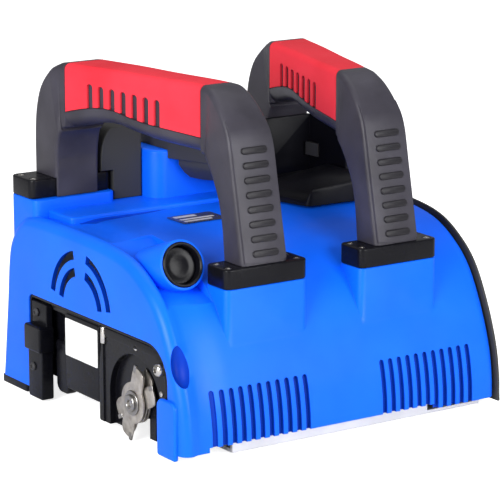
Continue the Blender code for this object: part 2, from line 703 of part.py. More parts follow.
def build_motor_hood(root):
    """Low black hood over the motor's far end, with a sloping near corner."""
    base = [(0.0570, -0.0120), (0.1040, -0.0140), (0.1220, -0.0140), (0.1220, 0.0545), (0.0400, 0.0545)]
    tops = [0.1655, 0.1800, 0.1820, 0.1830, 0.1780]
    low = [(x, y, 0.1615) for x, y in base]
    high = [(x, y, z) for (x, y), z in zip(base, tops)]
    add_object("motor_hood", skin([low, high]), "black_plastic", root)


def build_switch_box(root):
    """Box on the right of the deck, with a wall toward the tower and the rocker on its inner side."""
    outline = rounded_rectangle((0.0300, 0.1612), (0.0915, 0.2220), (0.002, 0.002, 0.008, 0.014), 4)
    housing = add_object("switch_box", prism(outline, 0.1270, 0.1560), "black_plastic", root)
    wing = box((0.0628, 0.0862, 0.1638), (0.1285, 0.0905, 0.2150))
    boolean(housing, add_object("switch_wing", wing, None, root), "UNION")
    pocket = box((0.1200, 0.0710, 0.1835), (0.1350, 0.0890, 0.1965))
    boolean(housing, add_object("switch_pocket_cut", pocket, None, root), "DIFFERENCE")
    gland_hole = prism(circle((0.0445, 0.1730), 0.0062, 20), 0.150, 0.170)
    boolean(housing, add_object("gland_hole_cut", gland_hole, None, root), "DIFFERENCE")
    gland = turned([(-0.0050, 0.0), (-0.0050, 0.0058), (0.0004, 0.0058), (0.0004, 0.0066), (0.0036, 0.0060),
                    (0.0036, 0.0030), (-0.0020, 0.0030), (-0.0020, 0.0)], 20)
    place(add_object("cable_gland", gland, "rubber_black", root), (0.1560, 0.0445, 0.1730))

    rocker = [(0.0012, -0.0078), (-0.0028, -0.0080), (-0.0040, 0.0), (-0.0052, 0.0080), (0.0012, 0.0078)]
    switch = prism(rocker, -0.0058, 0.0058, "z")
    place(add_object("power_switch", switch, "dark_plastic", root), (0.1290, 0.0800, 0.1900))


# ---------------------------------------------------------------- drive
def build_motor(root):
    """Motor inside the casing, on the arm's pivot axis."""
    centre = (0.0, MOTOR_Y, MOTOR_Z)

    def fixed(name, profile, finish, count=24):
        return place(add_object(name, turned(profile, count), finish, root), centre)

    fixed("stator_core", tube_profile(-0.070, 0.000, 0.0215, MOTOR_R), "core_steel", 32)
    left = [(-0.1165, 0.0090), (-0.1165, 0.0140), (-0.0900, 0.0140), (-0.0900, MOTOR_R), (-0.0703, MOTOR_R),
            (-0.0703, 0.0330), (-0.0870, 0.0330), (-0.0870, 0.0090)]
    fixed("motor_shield_left", left, "plate_aluminium", 32)
    right = [(0.0003, 0.0330), (0.0003, MOTOR_R), (0.0560, MOTOR_R), (0.0560, 0.0090), (0.0530, 0.0090),
             (0.0530, 0.0330)]
    fixed("motor_shield_right", right, "plate_aluminium", 32)
    fixed("motor_bearing_left", tube_profile(-0.1155, -0.1085, 0.0043, 0.0087), "machined_steel", 20)
    fixed("motor_bearing_right", tube_profile(0.0470, 0.0527, 0.0043, 0.0120), "machined_steel", 20)
    for name, side in (("brush_holder_top", 1), ("brush_holder_bottom", -1)):
        low, high = sorted((side * 0.0150, side * 0.0320))
        holder = box((0.0220, -0.0050, low), (0.0340, 0.0050, high))
        place(add_object(name, holder, "carbon", root), centre)

    shaft = [(-0.1430, 0.0), (-0.1430, 0.0050), (-0.1200, 0.0050), (-0.1200, 0.0040), (0.0525, 0.0040), (0.0525, 0.0)]
    fixed("motor_shaft", shaft, "machined_steel", 20)
    fixed("rotor_core", tube_profile(-0.0690, -0.0010, 0.0043, 0.0205), "copper", 32)
    fixed("commutator", tube_profile(0.0180, 0.0380, 0.0043, 0.0140), "copper", 24)
    fixed("cooling_fan", tube_profile(-0.0840, -0.0740, 0.0043, 0.0300), "dark_plastic", 24)
    fixed("motor_pulley", pulley_profile(PULLEY_R_MOTOR), "machined_steel", 24)


def pulley_profile(radius):
    """Flanged belt pulley: bore, two rims and the belt's seat."""
    rim, bore = radius + 0.0018, 0.0053
    return [(-0.1430, bore), (-0.1430, rim), (-0.1422, rim), (-0.1422, radius),
            (-0.1318, radius), (-0.1318, rim), (-0.1310, rim), (-0.1310, bore)]


def arm_outline(rear_radius, nose_radius, steps=10):
    """Outline round both pulley axes (y, z)."""
    rear, nose = np.array((MOTOR_Y, MOTOR_Z)), np.array((SPINDLE_Y, SPINDLE_Z))
    span = nose - rear
    heading = math.atan2(span[1], span[0])
    lean = math.acos((rear_radius - nose_radius) / float(np.linalg.norm(span)))
    outline = []
    for centre, radius, start, sweep in (
            (nose, nose_radius, heading - lean, 2 * lean),
            (rear, rear_radius, heading + lean, math.tau - 2 * lean)):
        for step in range(steps + 1):
            angle = start + sweep * step / steps
            outline.append((centre[0] + radius * math.cos(angle), centre[1] + radius * math.sin(angle)))
    return outline


def build_arm(root):
    """Sprung arm: belt case, lid with its label, belt and spindle bearings."""
    case = add_object("arm_case", prism(arm_outline(ARM_REAR_R, ARM_NOSE_R), ARM_LEFT + 0.0025 + GAP, ARM_RIGHT),
                      "dark_plastic", root)
    room = prism(arm_outline(ARM_REAR_R - ARM_WALL, ARM_NOSE_R - 0.0020), -0.160, ARM_RIGHT - ARM_WALL)
    boolean(case, add_object("arm_room_cut", room, None, root), "DIFFERENCE")
    holes = [prism(circle((MOTOR_Y, MOTOR_Z), 0.0085, 24), -0.130, -0.110),
             prism(circle((SPINDLE_Y, SPINDLE_Z), 0.0093, 24), -0.130, -0.110)]
    boolean(case, add_object("arm_holes_cut", merge(holes), None, root), "DIFFERENCE")

    lid = add_object("arm_lid", prism(arm_outline(ARM_REAR_R, ARM_NOSE_R), ARM_LEFT, ARM_LEFT + 0.0025),
                     "black_plastic", root)
    cheek = rounded_rectangle((-0.0150, 0.0205), (0.0410, 0.0865), (0.003, 0.003, 0.003, 0.003), 2)
    boolean(lid, add_object("arm_cheek", prism(cheek, -0.1570, ARM_LEFT + 0.001), None, root), "UNION")
    knuckle = rounded_rectangle((0.0395, 0.0125), (0.0620, 0.0580), (0.008, 0.008, 0.002, 0.002), 3)
    boolean(lid, add_object("arm_knuckle", prism(knuckle, -0.1545, ARM_LEFT + 0.001), None, root), "UNION")
    nose_hole = prism(circle((SPINDLE_Y, SPINDLE_Z), 0.0093, 24), -0.160, -0.140)
    boolean(lid, add_object("arm_nose_hole_cut", nose_hole, None, root), "DIFFERENCE")
    stud = turned(disc_profile(-0.1550, ARM_LEFT + 0.001, 0.0085), 20)
    boolean(lid, place(add_object("arm_stud", stud, None, root), (0.0, MOTOR_Y, MOTOR_Z)), "UNION")

    label = box((-0.1577, -0.0135, 0.0500), (-0.1573, 0.0395, 0.0825))
    add_object("arm_label", label, "label_white", root)
    add_object("drive_belt", belt_loop(), "rubber_black", root)

    spindle = (0.0, SPINDLE_Y, SPINDLE_Z)
    inner = turned(tube_profile(-0.1262, -0.1215, 0.0053, 0.0090), 24)
    place(add_object("spindle_bearing_inner", inner, "machined_steel", root), spindle)
    outer = turned(tube_profile(-0.1488, -0.1440, 0.0053, 0.0090), 24)
    place(add_object("spindle_bearing_outer", outer, "machined_steel", root), spindle)


def belt_loop():
    """Flat closed belt round the two pulleys."""
    outer = arm_outline(PULLEY_R_MOTOR + 0.0021, PULLEY_R_SPINDLE + 0.0021, 12)
    inner = arm_outline(PULLEY_R_MOTOR + 0.0004, PULLEY_R_SPINDLE + 0.0004, 12)
    rings = [
        [(x, y, z) for y, z in outline]
        for outline, x in ((outer, -0.1418), (outer, -0.1322), (inner, -0.1322), (inner, -0.1418))
    ]
    return skin(rings, capped=False)


def build_spindle(root):
    """Cutter spindle with its pulley, cutter plates, spacers and centre bolt."""
    centre = (0.0, SPINDLE_Y, SPINDLE_Z)
    shaft = [(-0.1614, 0.0), (-0.1614, 0.0040), (-0.1520, 0.0040), (-0.1520, 0.0070), (-0.1492, 0.0070), (-0.1492, 0.0050), (-0.1215, 0.0050), (-0.1215, 0.0)]
    place(add_object("spindle_shaft", turned(shaft, 20), "machined_steel", root), centre)
    pulley = turned(pulley_profile(PULLEY_R_SPINDLE), 24)
    place(add_object("spindle_pulley", pulley, "machined_steel", root), centre)
    for index, angle in enumerate((19.0, 65.0, 33.0)):
        low = -0.1595 + 0.0028 * index
        plate = add_object(f"cutter_plate_{index + 1}", prism(cutter_outline(), low, low + 0.0016),
                           "cutter_steel", root)
        bore = turned(disc_profile(-0.180, -0.150, 0.0043), 20)
        boolean(plate, add_object(f"plate_bore_cut_{index + 1}", bore, None, root), "DIFFERENCE")
        place(plate, centre)
        plate.rotation_euler = (math.radians(angle), 0.0, 0.0)
        place(bpy.data.objects[f"plate_bore_cut_{index + 1}"], centre)
        if index < 2:
            spacer = turned(tube_profile(low + 0.0019, low + 0.0025, 0.0043, 0.0105), 24)
            place(add_object(f"cutter_spacer_{index + 1}", spacer, "machined_steel", root), centre)
    bolt = turned([(-0.1598, 0.0043), (-0.1598, 0.0075), (-0.1625, 0.0075), (-0.1632, 0.0068), (-0.1632, 0.0030),
                   (-0.1617, 0.0030), (-0.1617, 0.0043)], 24)
    place(add_object("cutter_bolt", bolt, "machined_steel", root), centre)


def cutter_outline():
    """Two-winged plate (y, z): a wide hub whose edge swells into two opposite square-ended wings."""
    angles, radii = zip(*CUTTER_EDGE)
    quarter = list(zip(angles, radii))
    mirror = [(180.0 - angle, radius) for angle, radius in reversed(quarter[:-1])]
    half = quarter + mirror
    whole = half[:-1] + [(180.0 + angle, radius) for angle, radius in half[:-1]]
    return [(radius * math.cos(math.radians(90.0 + angle)), radius * math.sin(math.radians(90.0 + angle)))
            for angle, radius in whole]


def build_return_spring(root):
    """Torsion spring round the arm's pivot, between the motor's end shield and the arm."""
    rings = []
    turns, radius, wire = 2.5, 0.0118, 0.0007
    start, pitch = -0.1228, 0.0017
    count = 40
    for step in range(count + 1):
        angle = math.tau * turns * step / count
        centre = np.array((start + pitch * turns * step / count, 0.0, 0.0))
        outward = np.array((0.0, math.cos(angle), math.sin(angle)))
        ring = []
        for corner in range(6):
            turn = math.tau * corner / 6
            point = centre + outward * (radius + wire * math.cos(turn)) + np.array((wire * math.sin(turn), 0.0, 0.0))
            ring.append(tuple(point))
        rings.append(ring)
    place(add_object("return_spring", skin(rings), "machined_steel", root), (0.0, MOTOR_Y, MOTOR_Z))


def main():
    clear_scene()
    root = bpy.data.objects.new("machine", None)
    bpy.context.scene.collection.objects.link(root)
    root.location = (CENTRE_SHIFT, 0.0, 0.0)
    build_shell(root)
    build_casing_trim(root)
    build_base(root)
    build_handles(root)
    build_rear_housings(root)
    build_motor(root)
    build_arm(root)
    build_spindle(root)
    build_return_spring(root)


main()
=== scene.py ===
"""Looks of the wall chaser: detailed pieces and finishes round its packed working model.

Sizes are in metres. Pieces are worked out in the machine's own frame, whose X zero lies
under the middle of the casing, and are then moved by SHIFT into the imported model's frame.
"""

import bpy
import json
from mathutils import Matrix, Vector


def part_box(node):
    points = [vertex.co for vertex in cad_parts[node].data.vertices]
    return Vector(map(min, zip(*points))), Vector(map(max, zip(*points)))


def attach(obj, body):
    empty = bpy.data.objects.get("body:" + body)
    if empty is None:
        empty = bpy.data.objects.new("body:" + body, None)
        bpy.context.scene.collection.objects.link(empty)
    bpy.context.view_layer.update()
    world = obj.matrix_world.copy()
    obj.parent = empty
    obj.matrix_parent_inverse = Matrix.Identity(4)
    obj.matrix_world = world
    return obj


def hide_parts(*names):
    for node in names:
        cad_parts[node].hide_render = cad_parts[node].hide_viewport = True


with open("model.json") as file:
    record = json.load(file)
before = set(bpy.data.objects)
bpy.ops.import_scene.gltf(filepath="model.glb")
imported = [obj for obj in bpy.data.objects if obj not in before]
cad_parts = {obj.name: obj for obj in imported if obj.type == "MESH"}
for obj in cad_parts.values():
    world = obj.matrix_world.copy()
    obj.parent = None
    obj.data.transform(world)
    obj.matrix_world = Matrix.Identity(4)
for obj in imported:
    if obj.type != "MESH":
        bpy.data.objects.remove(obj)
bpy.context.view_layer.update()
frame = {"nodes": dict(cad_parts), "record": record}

import json  # noqa: E402
import logging  # noqa: E402
import math  # noqa: E402
from dataclasses import dataclass, field  # noqa: E402
from enum import Enum  # noqa: E402

import bmesh  # noqa: E402
import bpy  # noqa: E402
import numpy as np  # noqa: E402
from mathutils import Matrix, Vector  # noqa: E402

Array = np.ndarray
log = logging.getLogger("wall_chaser")

SIDE_PLATE_OUTER_X = 0.1603
PLATFORM_Z = 0.1635
DECK_Z = 0.1603
LEG_X = 0.0665
REAR_FOOT_X = 0.1145
PIVOT = (0.084, 0.050)
SPINDLE = (-0.072, 0.035)
OPENING_REAR_Y = 0.098
OPENING_FRONT_Y = -0.127
OPENING_TOP_Z = 0.092
OPENING_REAR_RADIUS = 0.006
OPENING_FRONT_RADIUS = 0.030
FOOT_HALF_LENGTH = 0.040
FOOT_RADIUS = 0.006
FRONT_FOOT = (-0.1315, -0.0995)
REAR_FOOT = (0.10005, 0.13655)
BELOW = -0.010
QUARTER_TURN = math.pi / 2
UPRIGHT = Matrix.Rotation(-QUARTER_TURN, 4, "Y")
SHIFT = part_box("right_side_plate")[1].x - SIDE_PLATE_OUTER_X


class Side(Enum):
    """Left is the cutter's side of the machine."""

    LEFT = -1
    RIGHT = 1

    @property
    def word(self) -> str:
        """The side's name in piece names."""
        return self.name.lower()


# ---------------------------------------------------------------- surfaces
def catmull_rom(points: Array, steps: int) -> Array:
    """Smooth curve through points: each span blends its four neighbours with cubic weights.

    Args:
        points: Knots, one row each.
        steps: Samples for each span.

    Returns:
        The samples, ending on the last knot.
    """
    knots = np.concatenate([points[:1], points, points[-1:]])
    t = (np.arange(steps) / steps)[None, :, None]
    a, b, c, d = (knots[i:len(knots) - 3 + i, None, :] for i in range(4))
    curve = 0.5 * (2 * b + (c - a) * t + (2 * a - 5 * b + 4 * c - d) * t**2 + (3 * b - a - 3 * c + d) * t**3)
    return np.concatenate([curve.reshape(-1, points.shape[1]), points[-1:]])


def outline_normals(outline: Array, closed: bool) -> Array:
    """Unit normals of a flat outline: its central difference turned a quarter turn.

    Args:
        outline: Points of the outline, (n, 2).
        closed: Whether the last point joins the first.

    Returns:
        One normal for each point, to the right of the way the outline runs.
    """
    if closed:
        along = np.roll(outline, -1, 0) - np.roll(outline, 1, 0)
    else:
        along = np.gradient(outline, axis=0)
    along = along / np.maximum(np.linalg.norm(along, axis=1), 1e-12)[:, None]
    return np.stack([along[:, 1], -along[:, 0]], axis=1)


def rounded_rectangle(low: tuple, high: tuple, radii: tuple, steps: int = 6) -> Array:
    """Closed outline of a rectangle whose corners are quarter circles.

    Args:
        low: Lower corner.
        high: Upper corner.
        radii: Corner radii, anticlockwise from the low corner.
        steps: Segments in each corner.

    Returns:
        The outline, anticlockwise.
    """
    corners = np.array([(low[0], low[1]), (high[0], low[1]), (high[0], high[1]), (low[0], high[1])], float)
    signs = np.array([(1, 1), (-1, 1), (-1, -1), (1, -1)], float)
    turn = np.arange(steps + 1) / steps * QUARTER_TURN
    radius = np.maximum(np.array(radii, float), 1e-5)[:, None, None]
    angle = math.pi + np.arange(4)[:, None] * QUARTER_TURN + turn[None, :]
    arc = np.stack([np.cos(angle), np.sin(angle)], axis=2)
    return ((corners + signs * radius[:, 0])[:, None, :] + radius * arc).reshape(-1, 2)


def rounded_corners(corners: Array, radius: float, steps: int) -> Array:
    """Closed outline through corners, each replaced by a short parabola between its sides.

    Args:
        corners: Corner points.
        radius: How far from a corner its curve starts.
        steps: Segments in each curve.

    Returns:
        The rounded outline.
    """
    before = np.roll(corners, 1, 0) - corners
    after = np.roll(corners, -1, 0) - corners
    start = corners + before / np.linalg.norm(before, axis=1)[:, None] * radius
    end = corners + after / np.linalg.norm(after, axis=1)[:, None] * radius
    t = (np.arange(steps + 1) / steps)[None, :, None]
    curve = (1 - t) ** 2 * start[:, None] + 2 * t * (1 - t) * corners[:, None] + t**2 * end[:, None]
    return curve.reshape(-1, 2)


def circle(centre: tuple, radius: float, count: int) -> Array:
    """Closed outline of a circle, anticlockwise.

    Args:
        centre: Middle point.
        radius: Radius.
        count: Points.

    Returns:
        The outline, (count, 2).
    """
    angle = np.arange(count) / count * math.tau
    return np.stack([centre[0] + radius * np.cos(angle), centre[1] + radius * np.sin(angle)], axis=1)


def lift(outline: Array, along: float, axis: str) -> Array:
    """Places a flat outline of the two other axes, in X, Y, Z order, at a distance along an axis.

    Args:
        outline: Flat points, (n, 2).
        along: Place on the axis.
        axis: One of x, y and z.

    Returns:
        Points in space, (n, 3).
    """
    return np.insert(outline, "xyz".index(axis), along, axis=1)


def prism(outline: Array, low: float, high: float, axis: str) -> Array:
    """Rings of a straight prism: the outline at both ends.

    Args:
        outline: Closed flat outline.
        low: Start of the prism on the axis.
        high: End of the prism on the axis.
        axis: One of x, y and z.

    Returns:
        Rings, (2, n, 3).
    """
    return np.array([lift(outline, along, axis) for along in (low, high)])


def slab(outline: Array, low: float, high: float, axis: str, edge: float = 0.0008, steps: int = 3) -> Array:
    """Rings of a plate with rounded rims: each ring is the outline, drawn in along its normals by
    edge times one minus the cosine of the rim's quarter turn.

    Args:
        outline: Closed flat outline.
        low: Start of the plate on the axis.
        high: End of the plate on the axis.
        axis: One of x, y and z.
        edge: Rim radius.
        steps: Segments in each rim.

    Returns:
        Rings, (k, n, 3).
    """
    area = np.sum(outline[:, 0] * np.roll(outline[:, 1], -1) - np.roll(outline[:, 0], -1) * outline[:, 1])
    inward = -outline_normals(outline, True) * np.sign(area)
    turn = np.arange(steps + 1) / steps * QUARTER_TURN
    depth = edge * (1 - np.sin(turn))
    rise = edge * (1 - np.cos(turn))
    rings = [lift(outline + inward * d, low + r, axis) for d, r in zip(depth, rise)]
    rings += [lift(outline + inward * d, high - r, axis) for d, r in zip(depth[::-1], rise[::-1])]
    return np.array(rings)


def lathe(profile: list, count: int = 40) -> Array:
    """Rings of a solid turned about X: each profile point (x, radius) becomes a circle.

    Args:
        profile: Points from one flat end to the other.
        count: Points on each circle.

    Returns:
        Rings, (k, count, 3).
    """
    points = np.array(profile, float)
    angle = np.arange(count) / count * math.tau
    ring = np.stack([np.zeros(count), np.cos(angle), np.sin(angle)], axis=1)
    rings = points[:, 1, None, None] * ring[None]
    rings[:, :, 0] = points[:, 0, None]
    return rings


def moved(points: Array, origin: tuple, turn: Matrix | None = None) -> Array:
    """Turns points about their own zero and then moves that zero to origin.

    Args:
        points: Any array whose last axis is X, Y, Z.
        origin: Where zero goes.
        turn: Rotation, or None.

    Returns:
        The points in their new place.
    """
    placed = points if turn is None else points @ np.array(turn.to_3x3()).T
    return placed + np.array(origin)


# ---------------------------------------------------------------- solids
class Solid:
    """One closed mesh object under construction."""

    def __init__(self, name: str, rings: Array | None = None, closed: bool = False) -> None:
        """Starts a solid, from rings when they are given.

        Args:
            name: Object name.
            rings: Loft rings, (k, n, 3).
            closed: Whether the last ring joins the first.
        """
        self.object = bpy.data.objects.new(name, bpy.data.meshes.new(name))
        bpy.context.scene.collection.objects.link(self.object)
        if rings is not None:
            self.skin(rings, closed)

    @property
    def mesh(self) -> bpy.types.Mesh:
        """The solid's mesh."""
        return self.object.data

    def skin(self, rings: Array, closed: bool = False) -> "Solid":
        """Adds a skin of quads through rings, with a flat face on each open end.

        Args:
            rings: Loft rings, (k, n, 3).
            closed: Whether the last ring joins the first.

        Returns:
            The solid itself.
        """
        rows, count = rings.shape[:2]
        index = np.arange(rows * count).reshape(rows, count)
        after = np.roll(index, -1, 0) if closed else index[1:]
        here = index if closed else index[:-1]
        quads = np.stack([here, np.roll(here, -1, 1), np.roll(after, -1, 1), after], axis=2)
        faces = quads.reshape(-1, 4).tolist()
        if not closed:
            faces += [index[0, ::-1].tolist(), index[-1].tolist()]
        part = bpy.data.meshes.new("part")
        part.from_pydata(rings.reshape(-1, 3).tolist(), [], faces)
        joined = bmesh.new()
        joined.from_mesh(self.mesh)
        shell = bmesh.new()
        shell.from_mesh(part)
        bmesh.ops.remove_doubles(shell, verts=shell.verts, dist=1e-7)
        bmesh.ops.recalc_face_normals(shell, faces=shell.faces)
        shell.to_mesh(part)
        joined.from_mesh(part)
        joined.to_mesh(self.mesh)
        shell.free()
        joined.free()
        bpy.data.meshes.remove(part)
        return self

    def combine(self, tool: "Solid", operation: str) -> "Solid":
        """Carries out a Boolean with another solid, which is used up.

        Args:
            tool: The second solid.
            operation: UNION or DIFFERENCE.

        Returns:
            The solid itself.
        """
        step = self.object.modifiers.new("combine", "BOOLEAN")
        step.operation = operation
        step.object = tool.object
        step.solver = "MANIFOLD"
        graph = bpy.context.evaluated_depsgraph_get()
        made = bpy.data.meshes.new_from_object(self.object.evaluated_get(graph))
        old = self.mesh
        self.object.modifiers.clear()
        self.object.data = made
        bpy.data.meshes.remove(old)
        bpy.data.objects.remove(tool.object, do_unlink=True)
        return self

    def cut(self, *rings: Array, slot: int = 0) -> "Solid":
        """Takes each ring skin away from the solid.

        Args:
            rings: One loft for each cutter.
            slot: Material slot of the new faces.

        Returns:
            The solid itself.
        """
        for each in rings:
            tool = Solid("cutter", each)
            for material in self.mesh.materials:
                tool.mesh.materials.append(material)
            faces = tool.mesh.polygons
            faces.foreach_set("material_index", np.full(len(faces), slot, np.int32))
            self.combine(tool, "DIFFERENCE")
        return self

    def add(self, *rings: Array) -> "Solid":
        """Joins each ring skin to the solid.

        Args:
            rings: One loft for each added shape.

        Returns:
            The solid itself.
        """
        for each in rings:
            self.combine(Solid("addition", each), "UNION")
        return self

    def finish(self, look: "Finish", slot: str, replaces: tuple = (), body: str = "machine",
               angle: float = 38.0) -> bpy.types.Object:
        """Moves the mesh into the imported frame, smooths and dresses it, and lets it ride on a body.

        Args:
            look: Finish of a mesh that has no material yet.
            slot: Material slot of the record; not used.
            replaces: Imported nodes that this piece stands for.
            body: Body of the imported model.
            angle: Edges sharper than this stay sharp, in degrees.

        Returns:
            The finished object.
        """
        self.mesh.transform(Matrix.Translation((SHIFT, 0.0, 0.0)))
        if not any(self.mesh.materials):
            self.mesh.materials.clear()
            self.mesh.materials.append(look.material())
        self.mesh.shade_smooth()
        self.mesh.set_sharp_from_angle(angle=math.radians(angle))
        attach(self.object, body)
        if replaces:
            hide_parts(*replaces)
        log.info("%s: %d faces", self.object.name, len(self.mesh.polygons))
        return self.object


# ---------------------------------------------------------------- finishes
def new_group(name: str, scale: float, mottle: float) -> tuple:
    """Makes a surface effect's node group: Vector, Scale and Mottle in, Height, Shade and Gloss out.

    Args:
        name: Group name.
        scale: Usual fineness of the detail.
        mottle: Usual fineness of the blotches.

    Returns:
        The group, its input node and its output node.
    """
    group = bpy.data.node_groups.new(name, "ShaderNodeTree")
    group.interface.new_socket(name="Vector", in_out="INPUT", socket_type="NodeSocketVector")
    for label, value in (("Scale", scale), ("Mottle", mottle)):
        socket = group.interface.new_socket(name=label, in_out="INPUT", socket_type="NodeSocketFloat")
        socket.default_value = value
    for label in ("Height", "Shade", "Gloss"):
        group.interface.new_socket(name=label, in_out="OUTPUT", socket_type="NodeSocketFloat")
    return group, group.nodes.new("NodeGroupInput"), group.nodes.new("NodeGroupOutput")


def feed(tree: bpy.types.NodeTree, value: bpy.types.NodeSocket | float,
         socket: bpy.types.NodeSocket) -> None:
    """Links a socket to an input, or sets the input to a number.

    Args:
        tree: Node tree.
        value: Socket or number.
        socket: Input.
    """
    if isinstance(value, bpy.types.NodeSocket):
        tree.links.new(value, socket)
    else:
        socket.default_value = value


def math_node(tree: bpy.types.NodeTree, operation: str,
              *values: bpy.types.NodeSocket | float) -> bpy.types.NodeSocket:
    """Adds a Math node and links or sets its inputs.

    Args:
        tree: Node tree.
        operation: Math operation.
        values: Socket or number for each input.

    Returns:
        The node's output.
    """
    node = tree.nodes.new("ShaderNodeMath")
    node.operation = operation
    for socket, value in zip(node.inputs, values):
        feed(tree, value, socket)
    return node.outputs[0]


def noise_node(tree: bpy.types.NodeTree, vector: bpy.types.NodeSocket, scale: bpy.types.NodeSocket | float,
               detail: float, roughness: float = 0.5) -> bpy.types.NodeSocket:
    """Adds a Noise Texture.

    Args:
        tree: Node tree.
        vector: Coordinates.
        scale: Socket or number.
        detail: Octaves.
        roughness: Strength of each octave against the one before.

    Returns:
        The noise value.
    """
    node = tree.nodes.new("ShaderNodeTexNoise")
    node.inputs["Detail"].default_value = detail
    node.inputs["Roughness"].default_value = roughness
    feed(tree, vector, node.inputs["Vector"])
    feed(tree, scale, node.inputs["Scale"])
    return node.outputs["Fac"]


def moulded_grain_group() -> bpy.types.NodeTree:
    """Spark-eroded mould texture: fine pebbles, a slower swell, and faint dust in the hollows.

    Returns:
        The group, with Height, Shade and Gloss outputs.
    """
    group, start, end = new_group("moulded_grain", 2500.0, 14.0)
    place = start.outputs["Vector"]
    pebble = noise_node(group, place, start.outputs["Scale"], 3.0, 0.6)
    mottle = noise_node(group, place, start.outputs["Mottle"], 5.0, 0.55)
    smear = noise_node(group, place, 55.0, 2.0)
    swell = math_node(group, "MULTIPLY", mottle, 0.6)
    height = math_node(group, "ADD", pebble, swell)
    smear_share = math_node(group, "MULTIPLY", smear, 0.7)
    pebble_share = math_node(group, "MULTIPLY", pebble, 0.3)
    gloss = math_node(group, "ADD", smear_share, pebble_share)
    for label, value in (("Height", height), ("Shade", mottle), ("Gloss", gloss)):
        feed(group, value, end.inputs[label])
    return group


def tool_mark_group() -> bpy.types.NodeTree:
    """Machining lines and stains: noise stretched along one axis, over slow blotches.

    Returns:
        The group, with Height, Shade and Gloss outputs.
    """
    group, start, end = new_group("tool_marks", 900.0, 60.0)
    stretch = group.nodes.new("ShaderNodeMapping")
    stretch.inputs["Scale"].default_value = (0.06, 1.0, 0.35)
    feed(group, start.outputs["Vector"], stretch.inputs["Vector"])
    lines = noise_node(group, stretch.outputs["Vector"], start.outputs["Scale"], 2.0)
    blotch = noise_node(group, start.outputs["Vector"], start.outputs["Mottle"], 6.0)
    line_share = math_node(group, "MULTIPLY", lines, 0.5)
    blotch_share = math_node(group, "MULTIPLY", blotch, 0.5)
    gloss = math_node(group, "ADD", line_share, blotch_share)
    for label, value in (("Height", lines), ("Shade", blotch), ("Gloss", gloss)):
        feed(group, value, end.inputs[label])
    return group


class Texture(Enum):
    """Which shared surface effect a finish uses."""

    GRAIN = "moulded_grain"
    TOOL_MARKS = "tool_marks"


@dataclass(frozen=True)
class Finish:
    """A finish: its colours, its gloss and its share of a surface effect."""

    name: str
    colour: tuple
    dark: tuple
    roughness: float
    texture: Texture = Texture.GRAIN
    metallic: float = 0.0
    gloss_swing: float = 0.12
    scale: float = 2500.0
    mottle: float = 14.0
    bump: float = 0.00004
    edge: float = 0.0007
    specular: float = 0.5

    def material(self) -> bpy.types.Material:
        """The finish's material, made on first use.

        Returns:
            The material.
        """
        found = bpy.data.materials.get(self.name)
        if found:
            return found
        made = bpy.data.materials.new(self.name)
        made.use_nodes = True
        tree = made.node_tree
        shader = tree.nodes["Principled BSDF"]
        place = tree.nodes.new("ShaderNodeTexCoord")
        effect = tree.nodes.new("ShaderNodeGroup")
        effect.node_tree = bpy.data.node_groups[self.texture.value]
        effect.inputs["Scale"].default_value = self.scale
        effect.inputs["Mottle"].default_value = self.mottle
        tree.links.new(place.outputs["Object"], effect.inputs["Vector"])
        shade = tree.nodes.new("ShaderNodeMix")
        shade.data_type = "RGBA"
        shade.inputs["A"].default_value = (*self.dark, 1.0)
        shade.inputs["B"].default_value = (*self.colour, 1.0)
        spread = tree.nodes.new("ShaderNodeMapRange")
        spread.inputs["From Min"].default_value = 0.30
        spread.inputs["From Max"].default_value = 0.65
        tree.links.new(effect.outputs["Shade"], spread.inputs["Value"])
        tree.links.new(spread.outputs["Result"], shade.inputs["Factor"])
        tree.links.new(shade.outputs["Result"], shader.inputs["Base Color"])
        rough = math_node(tree, "MULTIPLY_ADD", effect.outputs["Gloss"], self.gloss_swing * 2,
                          self.roughness - self.gloss_swing)
        tree.links.new(rough, shader.inputs["Roughness"])
        soft_edge = tree.nodes.new("ShaderNodeBevel")
        soft_edge.samples = 4
        soft_edge.inputs["Radius"].default_value = self.edge
        bump = tree.nodes.new("ShaderNodeBump")
        bump.inputs["Distance"].default_value = self.bump
        tree.links.new(effect.outputs["Height"], bump.inputs["Height"])
        tree.links.new(soft_edge.outputs["Normal"], bump.inputs["Normal"])
        tree.links.new(bump.outputs["Normal"], shader.inputs["Normal"])
        shader.inputs["Metallic"].default_value = self.metallic
        shader.inputs["Specular IOR Level"].default_value = self.specular
        return made


BLUE = Finish(
    "casing_blue", (0.003, 0.132, 0.960), (0.002, 0.112, 0.880), 0.36, bump=0.00002, specular=0.16)
# Mid dark blue of painted shade for the deck trough in front of the platform.
BLUE_TROUGH_PAINTED_SHADE = Finish(
    "casing_blue_trough_painted_shade", (0.002, 0.060, 0.620), (0.001, 0.046, 0.520), 0.40, bump=0.00002, specular=0.10)
# Darker blue of painted shade for the front grooves, the side vents and the corner recess.
BLUE_PAINTED_SHADE = Finish(
    "casing_blue_painted_shade", (0.001, 0.038, 0.420), (0.001, 0.028, 0.320), 0.45, bump=0.00003, specular=0.10)
BLACK = Finish(
    "black_moulding", (0.018, 0.017, 0.023), (0.010, 0.010, 0.014), 0.40, bump=0.00008, scale=1800.0,
    specular=0.25)
SATIN_BLACK = Finish(
    "satin_black", (0.005, 0.005, 0.007), (0.002, 0.002, 0.004), 0.26, bump=0.00004, specular=0.16)
RIB_BLACK = Finish(
    "rib_black", (0.016, 0.015, 0.019), (0.009, 0.008, 0.011), 0.38, bump=0.00008, specular=0.25)
DEEP_BLACK = Finish(
    "deep_black", (0.005, 0.005, 0.008), (0.003, 0.003, 0.005), 0.36, bump=0.00006, specular=0.12)
HANDLE_BLACK = Finish(
    "handle_black", (0.047, 0.044, 0.058), (0.026, 0.024, 0.032), 0.36, bump=0.00016, scale=1300.0,
    mottle=22.0, specular=0.25)
